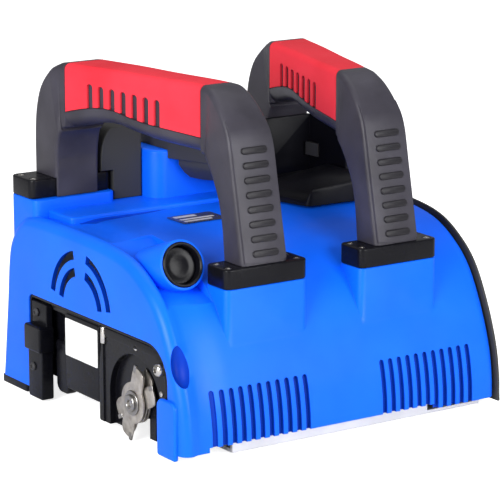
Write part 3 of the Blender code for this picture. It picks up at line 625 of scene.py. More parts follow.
DARK = Finish(
    "dark_moulding", (0.045, 0.044, 0.055), (0.028, 0.028, 0.036), 0.42, bump=0.00008, scale=1800.0,
    specular=0.25)
RED = Finish(
    "grip_red", (0.780, 0.042, 0.064), (0.680, 0.030, 0.046), 0.48, bump=0.00014, scale=1400.0,
    specular=0.03)
STEEL = Finish(
    "plated_steel", (0.620, 0.600, 0.570), (0.480, 0.460, 0.430), 0.26, Texture.TOOL_MARKS, 1.0,
    edge=0.0003)
CUTTER_STEEL = Finish(
    "cutter_steel", (0.500, 0.470, 0.430), (0.300, 0.270, 0.240), 0.36, Texture.TOOL_MARKS, 0.9,
    bump=0.00008, mottle=160.0, edge=0.0003)
CARBIDE = Finish(
    "carbide", (0.330, 0.320, 0.310), (0.200, 0.190, 0.180), 0.32, Texture.TOOL_MARKS, 1.0, edge=0.0002)
SOLE = Finish(
    "sole_sheet", (0.780, 0.780, 0.800), (0.680, 0.680, 0.700), 0.36, Texture.TOOL_MARKS, 0.55,
    mottle=25.0)
PAPER = Finish(
    "label_film", (0.860, 0.860, 0.850), (0.800, 0.800, 0.790), 0.38, scale=4000.0, edge=0.0002)
LABEL_BLACK = Finish(
    "deck_film", (0.040, 0.040, 0.045), (0.025, 0.025, 0.030), 0.30, scale=4000.0, edge=0.0002)
LABEL_GREY = Finish(
    "deck_film_print", (0.520, 0.520, 0.540), (0.440, 0.440, 0.460), 0.35, scale=4000.0, edge=0.0001)
RUBBER = Finish(
    "rubber", (0.012, 0.012, 0.013), (0.007, 0.007, 0.008), 0.50, bump=0.00010, scale=1200.0,
    specular=0.3)
WINDING = Finish(
    "copper_winding", (0.720, 0.330, 0.160), (0.520, 0.210, 0.090), 0.35, Texture.TOOL_MARKS, 1.0)
CORE = Finish("core_steel", (0.260, 0.260, 0.270), (0.170, 0.170, 0.180), 0.45, Texture.TOOL_MARKS, 0.9)
CARBON = Finish("carbon", (0.060, 0.060, 0.060), (0.040, 0.040, 0.040), 0.60)

SLOT_FINISHES = {
    "casing": BLUE, "black_moulding": BLACK, "dark_moulding": DARK, "grip": RED, "steel": STEEL,
    "cutter": CUTTER_STEEL, "sole": SOLE, "label": PAPER, "deck_label": LABEL_BLACK, "rubber": RUBBER,
    "winding": WINDING, "core": CORE, "carbon": CARBON,
}


# ---------------------------------------------------------------- casing
def side_opening(inset: float) -> Array:
    """Outline of the casing's side opening in y and z, open below the machine.

    Args:
        inset: How far inside the opening's edge.

    Returns:
        The closed outline.
    """
    return rounded_rectangle(
        (OPENING_FRONT_Y + inset, BELOW), (OPENING_REAR_Y - inset, OPENING_TOP_Z - inset),
        (0, 0, OPENING_REAR_RADIUS - inset, OPENING_FRONT_RADIUS - inset), 10)


@dataclass
class Casing:
    """Blue one-piece casing with its black side plate, port and deck label."""

    left: float = -0.160
    right: float = 0.1575
    bottom: float = 0.008
    wall: float = 0.004
    edge: float = 0.009
    slot_pitch: float = 0.009
    slot_half_width: float = 0.0023
    slot_top: float = 0.0573
    slot_depth: float = 0.0030
    slots_each_side: int = 11
    slot_start: float = 0.039
    channel: float = 0.0022
    channel_start: float = 0.011
    channel_entry: float = 0.004
    channel_end: float = 0.046
    channel_exit: float = 0.022
    vent_centre: tuple = (0.0096, 0.0956)
    vent_half_width: float = 0.0037
    vent_foot: float = 0.17
    vents: tuple = ((0.0463, 0.22), (0.0320, 0.26))
    scoop_centre: tuple = (-0.1525, -0.1395, 0.0830)
    scoop_half: tuple = (0.0088, 0.0135)
    scoop_half_height: float = 0.0205
    tower_z: float = 0.206
    boss: tuple = (-0.126, -0.097, 0.1515)
    boss_tilt: float = math.radians(18.8)
    outline: Array = field(default_factory=lambda: catmull_rom(np.array([
        (-0.151, 0.008), (-0.150, 0.028), (-0.145, 0.054), (-0.133, 0.086), (-0.116, 0.117),
        (-0.095, 0.137), (-0.066, 0.152), (-0.025, 0.1585), (0.030, 0.160), (0.094, 0.159),
        (0.115, 0.152), (0.129, 0.138), (0.137, 0.118), (0.142, 0.076), (0.148, 0.030), (0.151, 0.008)]), 8))

    def section(self, wall: float, bottom: float) -> Array:
        """Side outline drawn in by wall metres along its normals, with its feet at bottom.

        Args:
            wall: How far inside.
            bottom: Height of both ends.

        Returns:
            The open outline, (n, 2).
        """
        curve = self.outline + outline_normals(self.outline, False) * wall
        curve[[0, -1], 1] = bottom
        return curve

    def loft(self, left: float, right: float, wall: float, bottom: float, edge: float, rim: float) -> Array:
        """Casing-shaped rings: the section at each X, drawn in at both ends by a quarter round and,
        just inside the left rim, by a shallow smooth channel.

        Args:
            left: Left end.
            right: Right end.
            wall: How far inside the outer face.
            bottom: Height of the feet.
            edge: Radius of the side edges.
            rim: Depth of the channel.

        Returns:
            Rings along X.
        """
        flat_steps = 56
        turn = np.arange(9) / 8 * QUARTER_TURN
        along = edge * (1 - np.cos(turn))
        inset = edge * (1 - np.sin(turn))
        flat = np.linspace(left + edge, right - edge, flat_steps + 2)[1:-1]
        xs = np.concatenate([left + along, flat, right - along[::-1]])
        depth = np.concatenate([inset, np.zeros(flat_steps), inset[::-1]])
        entry = np.clip((xs - (left + self.channel_start)) / self.channel_entry, 0, 1)
        inside = entry * np.clip(((left + self.channel_end) - xs) / self.channel_exit, 0, 1)
        depth = depth + rim * inside * inside * (3 - 2 * inside)
        return np.array([lift(self.section(wall + d, bottom), x, "x") for x, d in zip(xs, depth)])

    def pocket(self, drop: float, low: float, high: float) -> Array:
        """Wedge over the flat that the round boss stands in.

        Args:
            drop: How far below the flat.
            low: Left end.
            high: Right end.

        Returns:
            Rings along X.
        """
        wedge = np.array([(-0.112, 0.121 - drop), (-0.020, 0.157 - drop), (-0.010, 0.185), (-0.150, 0.185),
                          (-0.150, 0.121 - drop)])
        return prism(wedge, low, high, "x")

    def slot(self, x: float) -> Array:
        """Blind groove down the front: a strip of the section from the lower edge to a half-round
        top, slot_depth deep.

        Args:
            x: Middle of the groove.

        Returns:
            Rings up the groove.
        """
        shoulder = self.slot_top - self.slot_half_width
        turn = np.arange(1, 7) / 6.3 * QUARTER_TURN
        cap = self.slot_top - self.slot_half_width * (1 - np.sin(turn))
        z = np.concatenate([np.linspace(-0.004, shoulder, 12), cap])
        rise = np.clip((z - shoulder) / self.slot_half_width, 0, 1)
        half = self.slot_half_width * np.sqrt(np.maximum(1 - rise**2, 0.0025))
        front = np.interp(z, self.outline[:30, 1], self.outline[:30, 0])
        deep = front + self.slot_depth
        proud = front - 0.0080
        return np.stack([np.stack([x - half, proud, z], 1), np.stack([x + half, proud, z], 1),
                         np.stack([x + half, deep, z], 1), np.stack([x - half, deep, z], 1)], axis=1)

    def vent(self, radius: float, start: float, end: float) -> Array:
        """Curved vent: a ring sector about the side vents' centre.

        Args:
            radius: Middle radius.
            start: First angle.
            end: Last angle.

        Returns:
            Rings along X.
        """
        angle = np.linspace(start, end, 20)
        arc = np.stack([np.cos(angle), np.sin(angle)], 1)
        outer, inner = radius + self.vent_half_width, radius - self.vent_half_width
        loop = np.concatenate([arc * outer, arc[::-1] * inner]) + np.array(self.vent_centre)
        return prism(loop, self.left - 0.002, self.left + 0.012, "x")

    def aimed(self, profile: list, count: int = 64) -> Array:
        """Turned shape that points out of the round boss.

        Args:
            profile: (distance out of the face, radius) points.
            count: Points round.

        Returns:
            Rings.
        """
        turn = Matrix.Rotation(-QUARTER_TURN, 4, "Z") @ Matrix.Rotation(-self.boss_tilt, 4, "Y")
        return moved(lathe(profile, count), self.boss, turn)

    def scoop(self, grow: float) -> Array:
        """Egg-shaped finger recess on the front left corner: an ellipsoid, as stacked circles.

        Args:
            grow: How much wider than the recess on every side.

        Returns:
            Rings up the recess.
        """
        angle = np.linspace(-1, 1, 25) * math.radians(86)
        ring = circle((0, 0), 1.0, 40)
        rings = np.cos(angle)[:, None, None] * ring[None] * (np.array(self.scoop_half) + grow)
        up = np.repeat(((self.scoop_half_height + grow) * np.sin(angle))[:, None, None], 40, axis=1)
        return np.concatenate([rings, up], axis=2) + np.array(self.scoop_centre)

    def pads(self) -> list:
        """Handle pedestals, rear platform and tower that stand out of the casing.

        Returns:
            One loft for each.
        """
        shapes = []
        for side in Side:
            x = side.value * LEG_X
            front = rounded_rectangle((x - FOOT_HALF_LENGTH, FRONT_FOOT[0]), (x + FOOT_HALF_LENGTH,
                                                                              FRONT_FOOT[1]),
                                      (FOOT_RADIUS,) * 4)
            shapes.append(slab(front, 0.085, 0.1337, "z"))
            behind = rounded_rectangle((x - 0.036, -0.1050), (x + 0.036, -0.0780), (0.003,) * 4)
            shapes.append(slab(behind, 0.110, 0.1320, "z"))
            x = side.value * REAR_FOOT_X
            rear = rounded_rectangle((x - FOOT_HALF_LENGTH, 0.0930), (x + FOOT_HALF_LENGTH, REAR_FOOT[1]),
                                     (FOOT_RADIUS,) * 4)
            shapes.append(slab(rear, 0.128, 0.1727, "z"))
        platform = rounded_rectangle((-0.141, 0.055), (0.122, 0.118), (0.004, 0.004, 0.001, 0.001))
        shapes.append(slab(platform, 0.150, PLATFORM_Z, "z", 0.0015))
        tower = rounded_rectangle((-0.0430, 0.0800), (0.0560, 0.1260), (0.014, 0.004, 0.004, 0.010), 10)
        shapes.append(slab(tower, 0.140, self.tower_z, "z", 0.0025, 5))
        return shapes

    def make_shell(self) -> None:
        """Builds the casing."""
        outside = self.loft(self.left, self.right, 0.0, self.bottom, self.edge, self.channel)
        shell = Solid("casing", outside)
        # Slot 1 is the darker blue of painted shade for grooves, vents and the corner recess; slot 2 is the painted
        # shade of the deck trough.
        for finish in (BLUE, BLUE_PAINTED_SHADE, BLUE_TROUGH_PAINTED_SHADE):
            shell.mesh.materials.append(finish.material())
        shell.cut(self.pocket(0.0, -0.150, -0.1075))
        shell.add(*self.pads())
        shell.add(self.aimed([(-0.048, 0.021), (-0.0015, 0.021), (-0.0004, 0.0206), (0.0, 0.0198)]))
        inside = self.loft(self.left + self.wall, self.right + 0.020, self.wall, BELOW, 0.006, self.channel)
        cavity = Solid("cavity", inside)
        cavity.cut(self.pocket(self.wall + 0.001, -0.158, -0.1035), self.aimed([(-0.060, 0.022), (0.010,
                                                                                                  0.022)]),
                   self.scoop(0.0015))
        shell.combine(cavity, "DIFFERENCE")
        shell.cut(prism(side_opening(0.0), -0.175, -0.130, "x"))
        pillar = rounded_rectangle((-0.1415, 0.0030), (-0.1145, 0.0510), (0.002, 0.002, 0.007, 0.007))
        shell.add(slab(pillar, self.left - 0.0030, self.left + 0.0012, "x", 0.0014, 4))
        step = rounded_rectangle((-0.134, -0.170), (0.092, -0.120), (0,) * 4, 1)
        shell.cut(prism(step, -0.002, 0.012, "z"))
        # Trough in front of the platform; its new faces get slot 2, the mid dark blue of painted shade.
        trough = np.array([(-0.134, 0.0548), (-0.134, 0.0500), (-0.125, 0.0420), (-0.020, 0.0548)])
        drop = np.array([0.1572, 0.1580, 0.1590, 0.1608])
        shell.cut(np.array([np.column_stack([trough, drop]), lift(trough, 0.1615, "z")]), slot=2)
        # Front grooves get slot 1: painted shade.
        for side in Side:
            starts = [self.slot_start + self.slot_pitch * index for index in range(self.slots_each_side)]
            shell.cut(*[self.slot(side.value * start) for start in starts], slot=1)
        # Vent walls get slot 1: painted shade.
        for radius, gap in self.vents:
            shell.cut(self.vent(radius, self.vent_foot, QUARTER_TURN - gap),
                      self.vent(radius, QUARTER_TURN + gap, math.pi - self.vent_foot), slot=1)
        # The corner recess gets slot 1: painted shade.
        shell.cut(self.scoop(0.0), slot=1)
        shell.cut(self.aimed([(-0.014, 0.0188), (0.005, 0.0188)]))
        shell.finish(BLUE, "casing", ("body_shell",))

    def make_heel(self) -> None:
        """Builds the black strip under the casing behind the arm's bracket."""
        strip = rounded_rectangle((-0.1590, 0.1060), (-0.1480, 0.1500), (0.002,) * 4)
        Solid("heel_strip", slab(strip, 0.0008, 0.0077, "z", 0.0006)).finish(SATIN_BLACK, "black_moulding")

    def make_side_plate(self) -> None:
        """Builds the flat black plate on the blank side."""
        curve = self.outline - outline_normals(self.outline, False) * 0.0015
        curve[[0, -1], 1] = 0.004
        Solid("side_plate", slab(curve, self.right + 0.0003, SIDE_PLATE_OUTER_X, "x", 0.0008)).finish(
            BLACK, "black_moulding", ("right_side_plate",))

    def make_port(self) -> None:
        """Builds the dust port's liner and the cap in it."""
        liner = [(-0.0137, 0.0184), (0.0009, 0.0184), (0.0015, 0.0178), (0.0015, 0.0166), (0.0008, 0.0159),
                 (-0.0100, 0.0155)]
        Solid("port_ring", self.aimed(liner)).finish(SATIN_BLACK, "black_moulding",
                                                     ("port_liner",))
        dish = [(-0.0095, 0.0150), (-0.0058, 0.0152), (-0.0052, 0.0146), (-0.0050, 0.0125), (-0.0056,
                                                                                             0.0105),
                (-0.0056, 0.0080), (-0.0052, 0.0050), (-0.0050, 0.0015)]
        Solid("port_cap", self.aimed(dish)).finish(SATIN_BLACK, "rubber", ("port_plug",))

    def make_label(self) -> None:
        """Builds the plain deck label and its blank printed bars."""
        sheet = rounded_rectangle((-0.066, -0.0050), (-0.022, 0.0240), (0.002,) * 4)
        Solid("deck_label_sheet", slab(sheet, DECK_Z, DECK_Z + 0.00038, "z", 0.0001, 1)).finish(
            LABEL_BLACK, "deck_label", ("deck_label",))
        bars = ((-0.040, 0.015, 0.021), (-0.028, 0.006, 0.010), (-0.034, -0.001, 0.003))
        for index, (end, low, high) in enumerate(bars):
            bar = rounded_rectangle((-0.062, low), (end, high), (0.001,) * 4, 3)
            Solid(f"deck_label_bar_{index + 1}", slab(bar, 0.16070, 0.16078, "z", 0.00003, 1)).finish(
                LABEL_GREY, "deck_label")

    def build(self) -> None:
        """Builds every piece of the casing."""
        self.make_shell()
        self.make_side_plate()
        self.make_port()
        self.make_label()
        self.make_heel()


# ---------------------------------------------------------------- handles
@dataclass
class Handle:
    """One bent handle with its ribbed front leg, red grip cover, foot blocks and screws."""

    side: Side
    front_x: float = -LEG_X
    rear_leg_x: float = -0.110
    rear_foot_x: float = -REAR_FOOT_X
    grip_front: float = -0.060
    grip_rear: float = 0.088
    skirt: float = 0.044
    cover_wall: float = 0.0026
    gap: float = 0.0003
    leg_radii: tuple = (0.0035, 0.0055)
    grip_radii: tuple = (0.0125, 0.0050)
    cover_radii: tuple = (0.0125, 0.0058)
    slot_count: int = 7
    slot_pitch: float = 0.0123
    slot_start: float = 0.0600
    slot_half_width: float = 0.0033
    slot_span: tuple = (0.225, 0.2708)
    slot_step: float = 0.0008
    slot_reach: float = 0.17
    panel_span: tuple = (0.1512, 0.2700)
    panel_rise: float = 0.0008
    rib_count: int = 8
    rib_pitch: float = 0.0119
    rib_half: tuple = (0.0125, 0.0029)
    rib_rise: float = 0.0024
    foot_height: float = 0.0164
    screw_places: tuple = (0.0335, 0.0075)
    stations: Array = field(default_factory=lambda: np.array([
        (-0.129, 0.1507, -0.099, 0.1507), (-0.122, 0.184, -0.096, 0.178), (-0.1155, 0.215, -0.091, 0.198),
        (-0.109, 0.245, -0.0845, 0.211), (-0.102, 0.260, -0.080, 0.217), (-0.091, 0.2735, -0.074, 0.223),
        (-0.077, 0.284, -0.067, 0.2285), (-0.060, 0.2885, -0.060, 0.2315), (0.000, 0.2895, 0.000, 0.2360),
        (0.045, 0.2905, 0.045, 0.2430), (0.088, 0.2905, 0.088, 0.2350), (0.098, 0.2885, 0.091, 0.231),
        (0.109, 0.2825, 0.0935, 0.226), (0.1240, 0.268, 0.0955, 0.217), (0.1325, 0.247, 0.0970, 0.207),
        (0.1355, 0.222, 0.0970, 0.198), (0.1360, 0.1897, 0.0970, 0.1897)]))

    def curve(self, steps: int) -> Array:
        """The stations joined by a smooth curve that stays under the handle's top.

        Args:
            steps: Samples for each span.

        Returns:
            Rows of outer y and z, inner y and z.
        """
        smooth = catmull_rom(self.stations, steps)
        smooth[:, 1] = np.minimum(smooth[:, 1], self.stations[:, 1].max())
        return smooth

    def middle(self, y: Array) -> Array:
        """X of the left handle's middle: square legs joined by a straight skewed grip.

        Args:
            y: Depths of the outer edge.

        Returns:
            X values.
        """
        return self.front_x + (self.rear_leg_x - self.front_x) * np.clip((y + 0.066) / 0.172, 0, 1)

    def half_width(self, y: Array) -> Array:
        """Half the handle's width: full at the front leg, least at the grip's front, growing to the back.

        Args:
            y: Depths of the outer edge.

        Returns:
            Half widths.
        """
        leg = 0.0222 - 0.0052 * np.clip((y + 0.110) / 0.050, 0, 1)
        grip = 0.0170 + 0.0043 * np.clip((y + 0.060) / 0.150, 0, 1)
        return np.where(y < -0.060, leg, grip)

    @staticmethod
    def quarter(across: float, up: float, radius: float, start: float) -> Array:
        """Quarter circle of seven points.

        Args:
            across: Centre across the handle.
            up: Centre up from its inner face.
            radius: Radius.
            start: First angle.

        Returns:
            Points, (7, 2).
        """
        angle = start + np.arange(7) / 6 * QUARTER_TURN
        return np.stack([across + radius * np.cos(angle), up + radius * np.sin(angle)], axis=1)

    def section(self, width: float, height: float, low: float, high: float, inset: float) -> Array:
        """Handle section: rounded below and above, stepped in by inset above the skirt line.

        Args:
            width: Half width.
            height: Height.
            low: Radius of the lower corners.
            high: Radius of the upper corners.
            inset: Step at the skirt line.

        Returns:
            Closed ring of (across, up) points.
        """
        line = height - min(self.skirt, height - low - 0.001)
        narrow = width - inset
        top = height - inset - high
        step = np.array([(width, line - 0.0003), (narrow, line)])
        return np.concatenate([
            self.quarter(width - low, low, low, -QUARTER_TURN), step,
            self.quarter(narrow - high, top, high, 0.0), self.quarter(high - narrow, top, high,
                                                                      QUARTER_TURN),
            step[::-1] * (-1, 1), self.quarter(low - width, low, low, math.pi)])

    def ring(self, station: Array, section: Array) -> Array:
        """Places a section at a station: up runs from the inner to the outer edge.

        Args:
            station: Outer y and z, inner y and z.
            section: (across, up) points.

        Returns:
            Points in space.
        """
        outer, inner = station[:2], station[2:]
        height = np.linalg.norm(outer - inner)
        yz = inner + (outer - inner) * (section[:, 1:2] / height)
        x = -self.side.value * (self.middle(outer[0]) + section[:, 0])
        return np.stack([x, yz[:, 0], yz[:, 1]], axis=1)

    def make_core(self) -> None:
        """Builds the black handle."""
        rings = []
        for station in self.curve(4):
            y = station[0]
            height = float(np.linalg.norm(station[:2] - station[2:]))
            width = float(self.half_width(y))
            leg = self.section(width, height, *self.leg_radii, 0.0)
            grip = self.section(width, height, *self.grip_radii, self.cover_wall)
            if y in (self.grip_front, self.grip_rear):
                shift = np.array((0.0006, 0, 0.0006, 0)) * np.sign(y)
                pair = [self.ring(station + shift, leg), self.ring(station, grip)]
                rings += pair if y < 0 else pair[::-1]
            else:
                inside = self.grip_front < y < self.grip_rear
                rings.append(self.ring(station, grip if inside else leg))
        core = Solid(f"handle_{self.side.word}_core", np.array(rings))
        x = -self.side.value * self.rear_leg_x
        tongue = rounded_rectangle((x - 0.0200, 0.0970), (x + 0.0200, 0.0998), (0.001,) * 4, 2)
        core.add(slab(tongue, 0.1733, 0.1963, "z", 0.0003, 1))
        core.finish(HANDLE_BLACK, "black_moulding", (f"handle_{self.side.word}",))

    def make_cover(self) -> None:
        """Builds the red grip cover with seven round-topped slots in each skirt."""
        curve = self.curve(4)
        span = curve[(curve[:, 0] >= self.grip_front) & (curve[:, 0] <= self.grip_rear)]
        rings = []
        for index, station in enumerate(span):
            height = float(np.linalg.norm(station[:2] - station[2:]))
            width = float(self.half_width(station[0]))
            outside = self.section(width, height, *self.cover_radii, 0.0)[8:24]
            inside = self.section(width, height, *self.grip_radii, self.cover_wall - self.gap)[8:24]
            for face in (outside, inside):
                face[[0, -1], 1] += self.gap
            clear = self.gap if index == 0 else (-self.gap if index == len(span) - 1 else 0.0)
            shifted = station + np.array((clear, 0, clear, 0))
            rings.append(self.ring(shifted, np.concatenate([outside, inside[::-1]])))
        cover = Solid(f"grip_cover_{self.side.word}_red", np.array(rings))
        low, high = self.slot_span
        for index in range(self.slot_count):
            y = self.slot_start - self.slot_pitch * index
            top = high + self.slot_step * (self.slot_count - 1 - index)
            slot = rounded_rectangle((y - self.slot_half_width, low), (y + self.slot_half_width, top),
                                     (0, 0, 0.0031, 0.0031))
            cover.cut(prism(slot, *sorted((0.0, self.side.value * self.slot_reach)), "x"))
        cover.finish(RED, "grip", (f"grip_cover_{self.side.word}",))

    def leg_face(self) -> tuple:
        """Front face of the front leg as a curve and its outward normals.

        Returns:
            Points (n, 2) and normals (n, 2), in y and z, from the foot upward.
        """
        curve = catmull_rom(self.stations, 24)[:, :2]
        curve = curve[: int(np.argmax(curve[:, 0] > -0.084))]
        return curve, -outline_normals(curve, False)

    def make_panel(self) -> None:
        """Builds the raised panel down the leg: the leg's front face, pushed out, with soft ends."""
        curve, normal = self.leg_face()
        keep = (curve[:, 1] > self.panel_span[0]) & (curve[:, 1] < self.panel_span[1])
        curve, normal = curve[keep], normal[keep]
        t = np.linspace(0, 1, len(curve))
        ends = np.minimum(1, (1 - t) * 14) ** 0.5
        feet = np.minimum(1, t * 60) ** 0.5
        half = np.maximum((self.half_width(curve[:, 0]) - 0.0018) * ends * feet, 0.0005)
        middle = -self.side.value * self.front_x
        fade = np.clip((1 - t) * 5, 0, 1)[:, None]
        rings = []
        edge = [(1.0, -0.0030), (1.0, 0.0), (0.98, 0.0006), (0.94, self.panel_rise)]
        for across, out in [(-share, out) for share, out in edge] + edge[::-1]:
            yz = curve + normal * (out * fade - self.panel_rise * (1 - fade))
            rings.append(np.stack([middle + half * across, yz[:, 0], yz[:, 1]], axis=1))
        panel = Solid(f"leg_panel_{self.side.word}", np.array(rings).transpose(1, 0, 2))
        panel.finish(HANDLE_BLACK, "black_moulding")

    def make_ribs(self) -> None:
        """Builds the eight pill-shaped ribs on the panel: a stadium pushed out with a soft crown."""
        curve, normal = self.leg_face()
        start = int(np.argmax(curve[:, 1] > 0.1590))
        length = np.concatenate([[0], np.cumsum(np.linalg.norm(np.diff(curve, axis=0), axis=1))])
        for index in range(self.rib_count):
            at = length[start] + index * self.rib_pitch
            centre = np.array([np.interp(at, length, curve[:, i]) for i in range(2)])
            out = np.array([np.interp(at, length, normal[:, i]) for i in range(2)])
            along = np.array((-out[1], out[0]))
            length_half, width_half = self.rib_half
            stadium = rounded_rectangle((-length_half, -width_half), self.rib_half, (0.0028,) * 4)
            rings = slab(stadium, 0.0, self.rib_rise, "z", 0.0011, 4)
            axes = np.array([(1, 0, 0), (0, *along), (0, *out)])
            x = -self.side.value * self.front_x
            origin = np.array((x, *(centre + out * 0.0001)))
            Solid(f"leg_rib_{self.side.word}_{index + 1}", rings @ axes + origin).finish(
                RIB_BLACK, "black_moulding")

    def make_foot(self, word: str, x: float, low_y: float, high_y: float, base: float) -> None:
        """Builds a foot block with its four cap screws.

        Args:
            word: front or rear.
            x: Middle of the block on the left side.
            low_y: Front face.
            high_y: Back face.
            base: Underside.
        """
        middle = -self.side.value * x
        name = f"{word}_foot_{self.side.word}"
        top = base + self.foot_height
        outline = rounded_rectangle((middle - FOOT_HALF_LENGTH, low_y), (middle + FOOT_HALF_LENGTH, high_y),
                                    (FOOT_RADIUS,) * 4)
        block = Solid(f"{name}_block", slab(outline, base, top, "z", 0.0012, 4))
        out, inset = self.screw_places
        places = [(middle + x, y) for x in (-out, out) for y in (low_y + inset, high_y - inset)]
        hole = lathe([(-0.0030, 0.0036), (0.0020, 0.0036)], 32)
        block.cut(*[moved(hole, (*place, top), UPRIGHT) for place in places])
        block.finish(SATIN_BLACK, "black_moulding", (name,))
        head = [(-0.0004, 0.0031), (0.0018, 0.0031), (0.0022, 0.0027), (0.0022, 0.0015), (0.0006, 0.0014)]
        for index, place in enumerate(places):
            rings = moved(lathe(head, 24), (*place, base + 0.0140), UPRIGHT)
            Solid(f"{name}_screw_{index + 1}", rings).finish(STEEL, "steel")

    def build(self) -> None:
        """Builds every piece of the handle."""
        self.make_core()
        self.make_cover()
        self.make_panel()
        self.make_ribs()
        self.make_foot("front", self.front_x, *FRONT_FOOT, 0.134)
        self.make_foot("rear", self.rear_foot_x, *REAR_FOOT, 0.173)


# ---------------------------------------------------------------- arm side
@dataclass
class ArmSide:
    """Black guard, frame, bracket and sprung arm round the cutter."""

    pivot: tuple = PIVOT
    spindle: tuple = SPINDLE

    @staticmethod
    def arch(inset: float, foot: float) -> Array:
        """Open outline over the side opening, from its rear foot to its front foot.

        Args:
            inset: How far inside the opening's edge.
            foot: Height of both ends.

        Returns:
            Points in y and z.
        """
        upper_corners = side_opening(inset)[22:]
        return np.concatenate([[(OPENING_REAR_Y - inset, foot)], upper_corners, [(OPENING_FRONT_Y + inset,
                                                                                  foot)]])

    def make_frame(self) -> None:
        """Builds the black lining of the side opening as a bent strip."""
        loop = np.concatenate([self.arch(0.0003, 0.0045), self.arch(0.0027, 0.0045)[::-1]])
        Solid("opening_lining", slab(loop, -0.1590, -0.1496, "x", 0.0003, 2)).finish(
            SATIN_BLACK, "black_moulding", ("opening_frame",))

    def make_guard(self) -> None:
        """Builds the cutter guard with its raised rim, recess and spindle slot."""
        y, z = self.spindle
        outer = rounded_rectangle((-0.1235, 0.0065), (-0.0165, 0.0885), (0.002, 0.002, 0.002, 0.026), 10)
        guard = Solid("cutter_guard_cast", slab(outer, -0.1580, -0.1498, "x", 0.0008))
        panel = rounded_rectangle((-0.1205, -0.010), (-0.0235, 0.0810), (0, 0, 0.003, 0.022), 10)
        guard.cut(prism(panel, -0.170, -0.1568, "x"))
        recess = circle((y, z), 0.0400, 72)
        guard.cut(prism(recess, -0.170, -0.1512, "x"))
        lower = rounded_rectangle((y - 0.0398, -0.010), (y + 0.0398, z), (0,) * 4, 1)
        guard.cut(prism(lower, -0.171, -0.15115, "x"))
        slot = rounded_rectangle((y - 0.0135, -0.011), (y + 0.0135, z + 0.0125), (0, 0, 0.013, 0.013))
        guard.cut(prism(slot, -0.172, -0.140, "x"))
        corner = rounded_rectangle((-0.130, -0.012), (-0.0950, 0.0360), (0,) * 4, 1)
        guard.cut(prism(corner, -0.173, -0.141, "x"))
        slope = np.array([(-0.0160, 0.0450), (-0.0205, 0.0740), (-0.0270, 0.0740), (-0.0270, 0.100), (0.0,
                                                                                                      0.100),
                          (0.0, 0.0450)])
        guard.cut(prism(slope, -0.174, -0.142, "x"))
        guard.finish(SATIN_BLACK, "black_moulding", ("cutter_guard",))

    def make_fasteners(self) -> None:
        """Builds the guard's button screw, pin and small screws and the bracket's cap screws."""
        button = [(0.0, 0.0056), (-0.0030, 0.0056), (-0.0048, 0.0046), (-0.0058, 0.0030), (-0.0060, 0.0022),
                  (-0.0036, 0.0020)]
        rings = moved(lathe(button), (-0.1571, -0.1130, 0.0725))
        Solid("guard_button_screw", rings).finish(STEEL, "steel", ("depth_stop_screw",))
        pin = [(0.0743, 0.0024), (0.0746, 0.0026), (0.0872, 0.0026), (0.0882, 0.0020), (0.0885, 0.0010)]
        rings = moved(lathe(pin), (-0.1570, -0.0230, 0.0), UPRIGHT)
        Solid("guard_bright_pin", rings).finish(STEEL, "steel", ("guard_pivot_pin",))
        cap = lathe([(0.0, 0.0036), (-0.0010, 0.0036), (-0.0021, 0.0026), (-0.0022, 0.0018), (-0.0008,
                                                                                              0.0016)])
        for word, x, z in (("upper", -0.1598, 0.0775), ("lower", -0.1638, 0.0300)):
            rings = moved(cap, (x, 0.0850, z))
            Solid(f"bracket_cap_{word}", rings).finish(DARK, "steel", (f"bracket_screw_{word}",))
        small = lathe([(0.0, 0.0024), (-0.0008, 0.0024), (-0.0014, 0.0016), (-0.0014, 0.0009), (-0.0006,
                                                                                                0.0008)], 24)
        for word, y, z in (("a", -0.0740, 0.0815), ("b", -0.1130, 0.0520)):
            Solid(f"guard_small_screw_{word}", moved(small, (-0.1566, y, z))).finish(STEEL, "steel")

    def make_bracket(self) -> None:
        """Builds the stepped bracket over the arm's pivot."""
        block = rounded_rectangle((0.0705, 0.0020), (0.0945, 0.0480), (0.002, 0.002, 0.001, 0.001))
        bracket = Solid("pivot_bracket_cast", slab(block, -0.1635, -0.1520, "x", 0.0010, 4))
        tab = rounded_rectangle((0.0675, 0.0450), (0.0945, 0.0680), (0.0015, 0.0015, 0.0035, 0.0035))
        bracket.add(slab(tab, -0.1675, -0.1525, "x", 0.0014, 4))
        upper = rounded_rectangle((0.0690, 0.0660), (0.0935, 0.0870), (0.001, 0.001, 0.002, 0.002))
        bracket.add(slab(upper, -0.1595, -0.1530, "x", 0.0008))
        bracket.cut(moved(lathe([(-0.004, 0.0088), (0.004, 0.0088)]), (-0.1520, *self.pivot)))
        bracket.finish(SATIN_BLACK, "black_moulding", ("pivot_bracket",))

    def capsule(self, rear: float, nose: float) -> Array:
        """Outline round both pulley axes: two arcs joined by their outer tangents.

        Args:
            rear: Radius at the pivot.
            nose: Radius at the spindle.

        Returns:
            Closed outline in y and z.
        """
        start, end = np.array(self.pivot), np.array(self.spindle)
        span = end - start
        heading = math.atan2(span[1], span[0])
        lean = math.acos((rear - nose) / float(np.linalg.norm(span)))
        first = heading - lean + 2 * lean * np.linspace(0, 1, 24)
        second = heading + lean + (math.tau - 2 * lean) * np.linspace(0, 1, 32)
        return np.concatenate([
            end + nose * np.stack([np.cos(first), np.sin(first)], 1),
            start + rear * np.stack([np.cos(second), np.sin(second)], 1)])

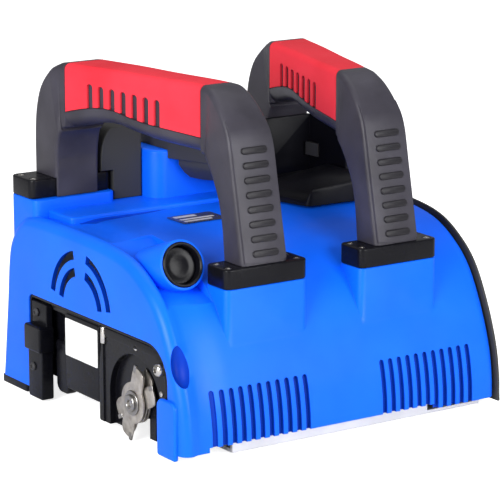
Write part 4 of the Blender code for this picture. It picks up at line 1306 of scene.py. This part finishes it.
    def make_arm(self) -> None:
        """Builds the arm's lid with its raised cheek, knuckle and stud, and the label on the cheek."""
        lid = Solid("arm_lid_cast", slab(self.capsule(0.030, 0.0155), -0.1463, -0.1438, "x", 0.0005, 2))
        cheek = rounded_rectangle((-0.0150, 0.0205), (0.0410, 0.0865), (0.003,) * 4)
        lid.add(slab(cheek, -0.1570, -0.1450, "x", 0.0012, 4))
        frame_band = rounded_rectangle((-0.0150, 0.0838), (0.0640, 0.0882), (0.001,) * 4, 2)
        lid.add(slab(frame_band, -0.1560, -0.1445, "x", 0.0006, 2))
        knuckle = rounded_rectangle((0.0395, 0.0125), (0.0620, 0.0580), (0.008, 0.008, 0.002, 0.002))
        lid.add(slab(knuckle, -0.1545, -0.1447, "x", 0.0020, 4))
        lid.cut(prism(circle(self.spindle, 0.0093, 40), -0.160, -0.140, "x"))
        lid.add(moved(lathe([(-0.1550, 0.0080), (-0.1545, 0.0085), (-0.1449, 0.0085)]), (0.0, *self.pivot)))
        lid.finish(SATIN_BLACK, "black_moulding", ("arm_lid",), "plunge_arm")
        sheet = rounded_rectangle((-0.0135, 0.0500), (0.0395, 0.0825), (0.0012,) * 4, 4)
        Solid("arm_label_sheet", slab(sheet, -0.1577, -0.1572, "x", 0.0001, 1)).finish(
            PAPER, "label", ("arm_label",), "plunge_arm")

    def build(self) -> None:
        """Builds every piece on the arm's side."""
        self.make_frame()
        self.make_guard()
        self.make_fasteners()
        self.make_bracket()
        self.make_arm()


@dataclass
class Cutter:
    """Stack of winged cutter plates with brazed tips, held by a socket bolt."""

    axis: tuple = SPINDLE
    tip_radius: float = 0.0335
    first_face: float = -0.1595
    thickness: float = 0.0016
    pitch: float = 0.0028
    turns: tuple = (19.0, 65.0, 33.0)
    hub_radius: float = 0.0172
    wing: float = 0.0143
    wing_half_angle: float = 24.0
    gullet_depth: float = 0.0030
    gullet_half_angle: float = 6.0
    bore: float = 0.0043

    def outline(self) -> Array:
        """Two-winged outline: a round hub plus a smooth bell each half turn, less a small dip before
        each wing.

        Returns:
            Closed outline in y and z.
        """
        angle = np.arange(180) * 2.0
        folded = (angle + 90.0) % 180.0 - 90.0
        dip = (folded + self.wing_half_angle) / self.gullet_half_angle
        gullet = self.gullet_depth * np.exp(-(dip**2))
        bell = self.wing * np.exp(-((np.abs(folded) / self.wing_half_angle) ** 4))
        radius = self.hub_radius + bell - gullet
        turn = np.radians(angle + 90.0)
        return np.stack([radius * np.cos(turn), radius * np.sin(turn)], axis=1)

    def build(self) -> None:
        """Builds the plates, their tips and the bolt."""
        for index, degrees in enumerate(self.turns):
            low = self.first_face + self.pitch * index
            turn = Matrix.Rotation(math.radians(degrees), 4, "X")
            origin = (0.0, *self.axis)
            rings = slab(self.outline(), low, low + self.thickness, "x", 0.0003, 2)
            plate = Solid(f"cutter_blade_{index + 1}", moved(rings, origin, turn))
            plate.cut(moved(lathe([(-0.180, self.bore), (-0.140, self.bore)]), origin))
            plate.finish(CUTTER_STEEL, "cutter", (f"cutter_plate_{index + 1}",), "spindle", 30.0)
            for wing in (0, 1):
                tip = rounded_rectangle((0.0040, 0.0258), (0.0076, self.tip_radius - 0.0010),
                                        (0.0004,) * 4, 2)
                rings = slab(tip, low - 0.0002, low + self.thickness + 0.0002, "x", 0.0002, 1)
                flip = turn @ Matrix.Rotation(math.pi * wing, 4, "X")
                Solid(f"cutter_tip_{index + 1}_{wing + 1}", moved(rings, origin, flip)).finish(
                    CARBIDE, "cutter", body="spindle")
        bolt = [(-0.1598, 0.0105), (-0.1606, 0.0105), (-0.1610, 0.0101), (-0.1611, 0.0080), (-0.1612,
                                                                                             0.0074),
                (-0.1626, 0.0074), (-0.1632, 0.0068), (-0.1632, 0.0042), (-0.1628, 0.0038)]
        head = Solid("cutter_socket_bolt", moved(lathe(bolt), (0.0, *self.axis)))
        socket = circle((0, 0), 0.0034, 6)
        head.cut(moved(prism(socket, -0.1700, -0.1606, "x"), (0.0, *self.axis)))
        head.finish(CARBIDE, "steel", ("cutter_bolt",), "spindle")


# ---------------------------------------------------------------- housings behind
@dataclass
class RearHousings:
    """Black housings behind and between the handles, with the switch box."""

    def make_air_housing(self) -> None:
        """Builds the upright housing beside the left handle's rear leg."""
        low = PLATFORM_Z + 0.0003
        outline = np.array([(-0.0725, low), (-0.0440, low), (-0.0440, 0.2220), (-0.0452, 0.2262), (-0.0490,
                                                                                                   0.2280),
                            (-0.0720, 0.2280), (-0.0755, 0.2270), (-0.0785, 0.2245), (-0.0815, 0.2190),
                            (-0.0835, 0.2130),
                            (-0.0845, 0.2060), (-0.0850, 0.1900), (-0.0725, 0.1900)])
        Solid("air_housing_cover", slab(outline, 0.0990, 0.1310, "y", 0.0012, 4)).finish(
            BLACK, "black_moulding", ("air_housing",))

    def make_hood(self) -> None:
        """Builds the grey-black hood over the tower, with its stepped apron."""
        top = np.array([(-0.0290, 0.0795), (-0.0290, 0.1280), (0.0620, 0.1280), (0.0620, 0.0760), (0.0400,
                                                                                                   0.0760),
                        (0.0400, 0.0400), (-0.0140, 0.0400)])
        hood = Solid("tower_hood", slab(top, 0.1985, 0.2160, "z", 0.0012, 4))
        apron = np.array([(-0.0160, 0.0560), (-0.0200, 0.0760), (0.0240, 0.0760), (0.0240, 0.0450),
                          (-0.0080, 0.0450)])
        height = np.array([0.2000, 0.1930, 0.1900, 0.1850, 0.1800])
        inward = np.array([0.0, 0.0, 0.0020, 0.0060, 0.0120])
        rings = [lift(np.stack([apron[:, 0] + d, np.minimum(apron[:, 1] + d / 3, 0.0760)], 1), z, "z")
                 for z, d in zip(height, inward)]
        hood.add(np.array(rings))
        socket = rounded_rectangle((-0.0433, 0.0797), (0.0563, 0.1263), (0.014, 0.004, 0.004, 0.010))
        hood.cut(prism(socket, 0.190, 0.2063, "z"))
        hood.finish(DARK, "dark_moulding", ("rear_hood",))

    def make_motor_hood(self) -> None:
        """Builds the low hood on the deck: its plan shrinks a little upward and its top slopes."""
        near = np.array([(0.0570, -0.0120), (0.1040, -0.0140), (0.1220, -0.0140), (0.1220, 0.0545),
                         (0.0400, 0.0545)])
        top = np.array([0.1655, 0.1790, 0.1820, 0.1830, 0.1780])
        loop = rounded_corners(near, 0.004, 5)
        heights = np.interp(np.arange(len(loop)), np.linspace(0, len(loop), 6), np.append(top, top[0]))
        centre = loop.mean(0)
        rings = [np.column_stack([loop, np.full(len(loop), 0.1615)])]
        for share, drop in ((0.0, 0.0035), (0.012, 0.0016), (0.035, 0.0004), (0.06, 0.0)):
            shrunk = loop + (centre - loop) * share
            rings.append(np.column_stack([shrunk, heights - drop]))
        Solid("motor_hood_cover", np.array(rings)).finish(DEEP_BLACK, "black_moulding", ("motor_hood",), angle=50.0)

    def make_switch_box(self) -> None:
        """Builds the switch box with its pocket and cable inlet."""
        outline = rounded_rectangle((0.0300, 0.1612), (0.0915, 0.2220), (0.002, 0.002, 0.008, 0.014), 8)
        housing = Solid("switch_housing", slab(outline, 0.1270, 0.1560, "x", 0.0014, 4))
        pocket = rounded_rectangle((0.0710, 0.1835), (0.0890, 0.1965), (0.0006,) * 4, 2)
        wing = rounded_rectangle((0.0628, 0.0862), (0.1285, 0.0905), (0.0006,) * 4, 2)
        housing.add(slab(wing, 0.1638, 0.2215, "z", 0.0005, 2))
        housing.cut(prism(pocket, 0.120, 0.1350, "x"))
        housing.cut(moved(lathe([(-0.006, 0.0062), (0.010, 0.0062)], 32), (0.156, 0.0445, 0.1730)))
        housing.finish(DEEP_BLACK, "black_moulding", ("switch_box",))
        gland = [(-0.0050, 0.0058), (0.0004, 0.0058), (0.0006, 0.0066), (0.0030, 0.0064), (0.0036, 0.0056),
                 (0.0036, 0.0032), (-0.0020, 0.0030)]
        Solid("cable_gland_rubber", moved(lathe(gland, 36), (0.1560, 0.0445, 0.1730))).finish(
            RUBBER, "rubber", ("cable_gland",))

    def build(self) -> None:
        """Builds every rear housing."""
        self.make_air_housing()
        self.make_hood()
        self.make_motor_hood()
        self.make_switch_box()


@dataclass
class RunningGear:
    """Four guide rollers under the sole plate."""

    radius: float = 0.009
    half_width: float = 0.011
    shoulder: float = 0.0078
    bore: float = 0.0033
    rows: tuple = (("front", -0.112), ("rear", 0.112))
    columns: tuple = (("left", -0.082), ("right", 0.118))

    def build(self) -> None:
        """Builds the rollers, each crowned and bored."""
        w, r = self.half_width, self.radius
        half = [(w, self.bore), (w, self.shoulder), (w - 0.0010, r - 0.0002), (w - 0.0022, r)]
        profile = [(-x, radius) for x, radius in half] + [(0.0, r)] + half[::-1]
        for word, y in self.rows:
            for side, x in self.columns:
                node = f"{word}_roller_{side}"
                wheel = Solid(f"{word}_wheel_{side}", moved(lathe(profile, 48), (x, y, r)), True)
                wheel.finish(RUBBER, "rubber", (node,), node)


# ---------------------------------------------------------------- stage
@dataclass
class Studio:
    """Pale floor, soft lights and the camera."""

    camera_at: tuple = (-1.227378, -1.838257, 0.649903)
    camera_forward: tuple = (0.541722, 0.808545, -0.229765)
    lens: float = 189.58
    sensor: float = 36.0
    aim: tuple = (0, 0, 0.12)
    floor_radius: float = 6.0
    floor_glow: float = 0.80
    world_strength: float = 0.34
    lights: tuple = (("key", (-2.1, -0.9, 1.0), 1.2, 62.0), ("front", (0.5, -2.4, 0.9), 1.2, 44.0),
                     ("top", (0.2, 0.2, 2.4), 2.0, 16.0))

    def make_camera(self) -> None:
        """Places the camera and makes it the scene's own."""
        forward = Vector(self.camera_forward).normalized()
        right = forward.cross(Vector((0, 0, 1))).normalized()
        up = right.cross(forward)
        camera = bpy.data.objects.new("camera", bpy.data.cameras.new("camera"))
        camera.data.lens = self.lens
        camera.data.sensor_width = self.sensor
        turn = Matrix((right, up, -forward)).transposed().to_4x4()
        place = Vector(self.camera_at) + Vector((SHIFT, 0, 0))
        camera.matrix_world = Matrix.Translation(place) @ turn
        bpy.context.scene.collection.objects.link(camera)
        bpy.context.scene.camera = camera

    def make_floor(self) -> None:
        """Builds the floor disc and its pale finish."""
        ring = circle((0, 0), self.floor_radius, 96)
        floor = Solid("floor", prism(ring, -0.020, 0.0, "z"))
        paint = Finish("floor_paint", (0.90, 0.90, 0.91), (0.89, 0.89, 0.90), 0.85, scale=40.0, mottle=3.0)
        floor.mesh.materials.append(self.lit_paper(paint.material()))

    def lit_paper(self, paint: bpy.types.Material) -> bpy.types.Material:
        """Lets the floor look like back-lit white paper to the camera alone.

        Args:
            paint: Floor material.

        Returns:
            The same material.
        """
        tree = paint.node_tree
        seen = tree.nodes.new("ShaderNodeLightPath")
        glow = math_node(tree, "MULTIPLY", seen.outputs["Is Camera Ray"], self.floor_glow)
        shader = tree.nodes["Principled BSDF"]
        tree.links.new(glow, shader.inputs["Emission Strength"])
        shader.inputs["Emission Color"].default_value = (1.0, 1.0, 1.0, 1.0)
        return paint

    def make_light(self, name: str, place: tuple, size: float, power: float) -> None:
        """Adds an area light that faces the machine.

        Args:
            name: Light name.
            place: Position.
            size: Side of the square light.
            power: Watts.
        """
        data = bpy.data.lights.new(name, "AREA")
        data.size = size
        data.energy = power
        light = bpy.data.objects.new(name, data)
        light.location = place
        light.rotation_euler = (Vector(self.aim) - Vector(place)).to_track_quat("-Z", "Y").to_euler()
        bpy.context.scene.collection.objects.link(light)

    def build(self) -> None:
        """Builds the stage."""
        self.make_floor()
        for light in self.lights:
            self.make_light(*light)
        world = bpy.data.worlds.new("studio")
        world.use_nodes = True
        background = world.node_tree.nodes["Background"]
        background.inputs["Color"].default_value = (1.0, 1.0, 1.0, 1.0)
        background.inputs["Strength"].default_value = self.world_strength
        bpy.context.scene.world = world
        bpy.context.scene.view_settings.view_transform = "Standard"


def dress_packed_nodes() -> None:
    """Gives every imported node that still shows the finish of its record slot."""
    slots = {row["node"]: row["material_slot"] for row in frame["record"]["subparts"]}
    for name, node in frame["nodes"].items():
        material = SLOT_FINISHES[slots[name]].material()
        if not node.material_slots:
            node.data.materials.append(material)
        for entry in node.material_slots:
            entry.link = "OBJECT"
            entry.material = material


def main() -> None:
    """Builds the stage and every sub-assembly, then reports."""
    logging.basicConfig(level=logging.INFO, format="%(message)s")
    moulded_grain_group()
    tool_mark_group()
    studio = Studio()
    studio.make_camera()
    dress_packed_nodes()
    Casing().build()
    for side in Side:
        Handle(side).build()
    ArmSide().build()
    Cutter().build()
    RearHousings().build()
    RunningGear().build()
    studio.build()


if __name__ == "__main__":
    main()
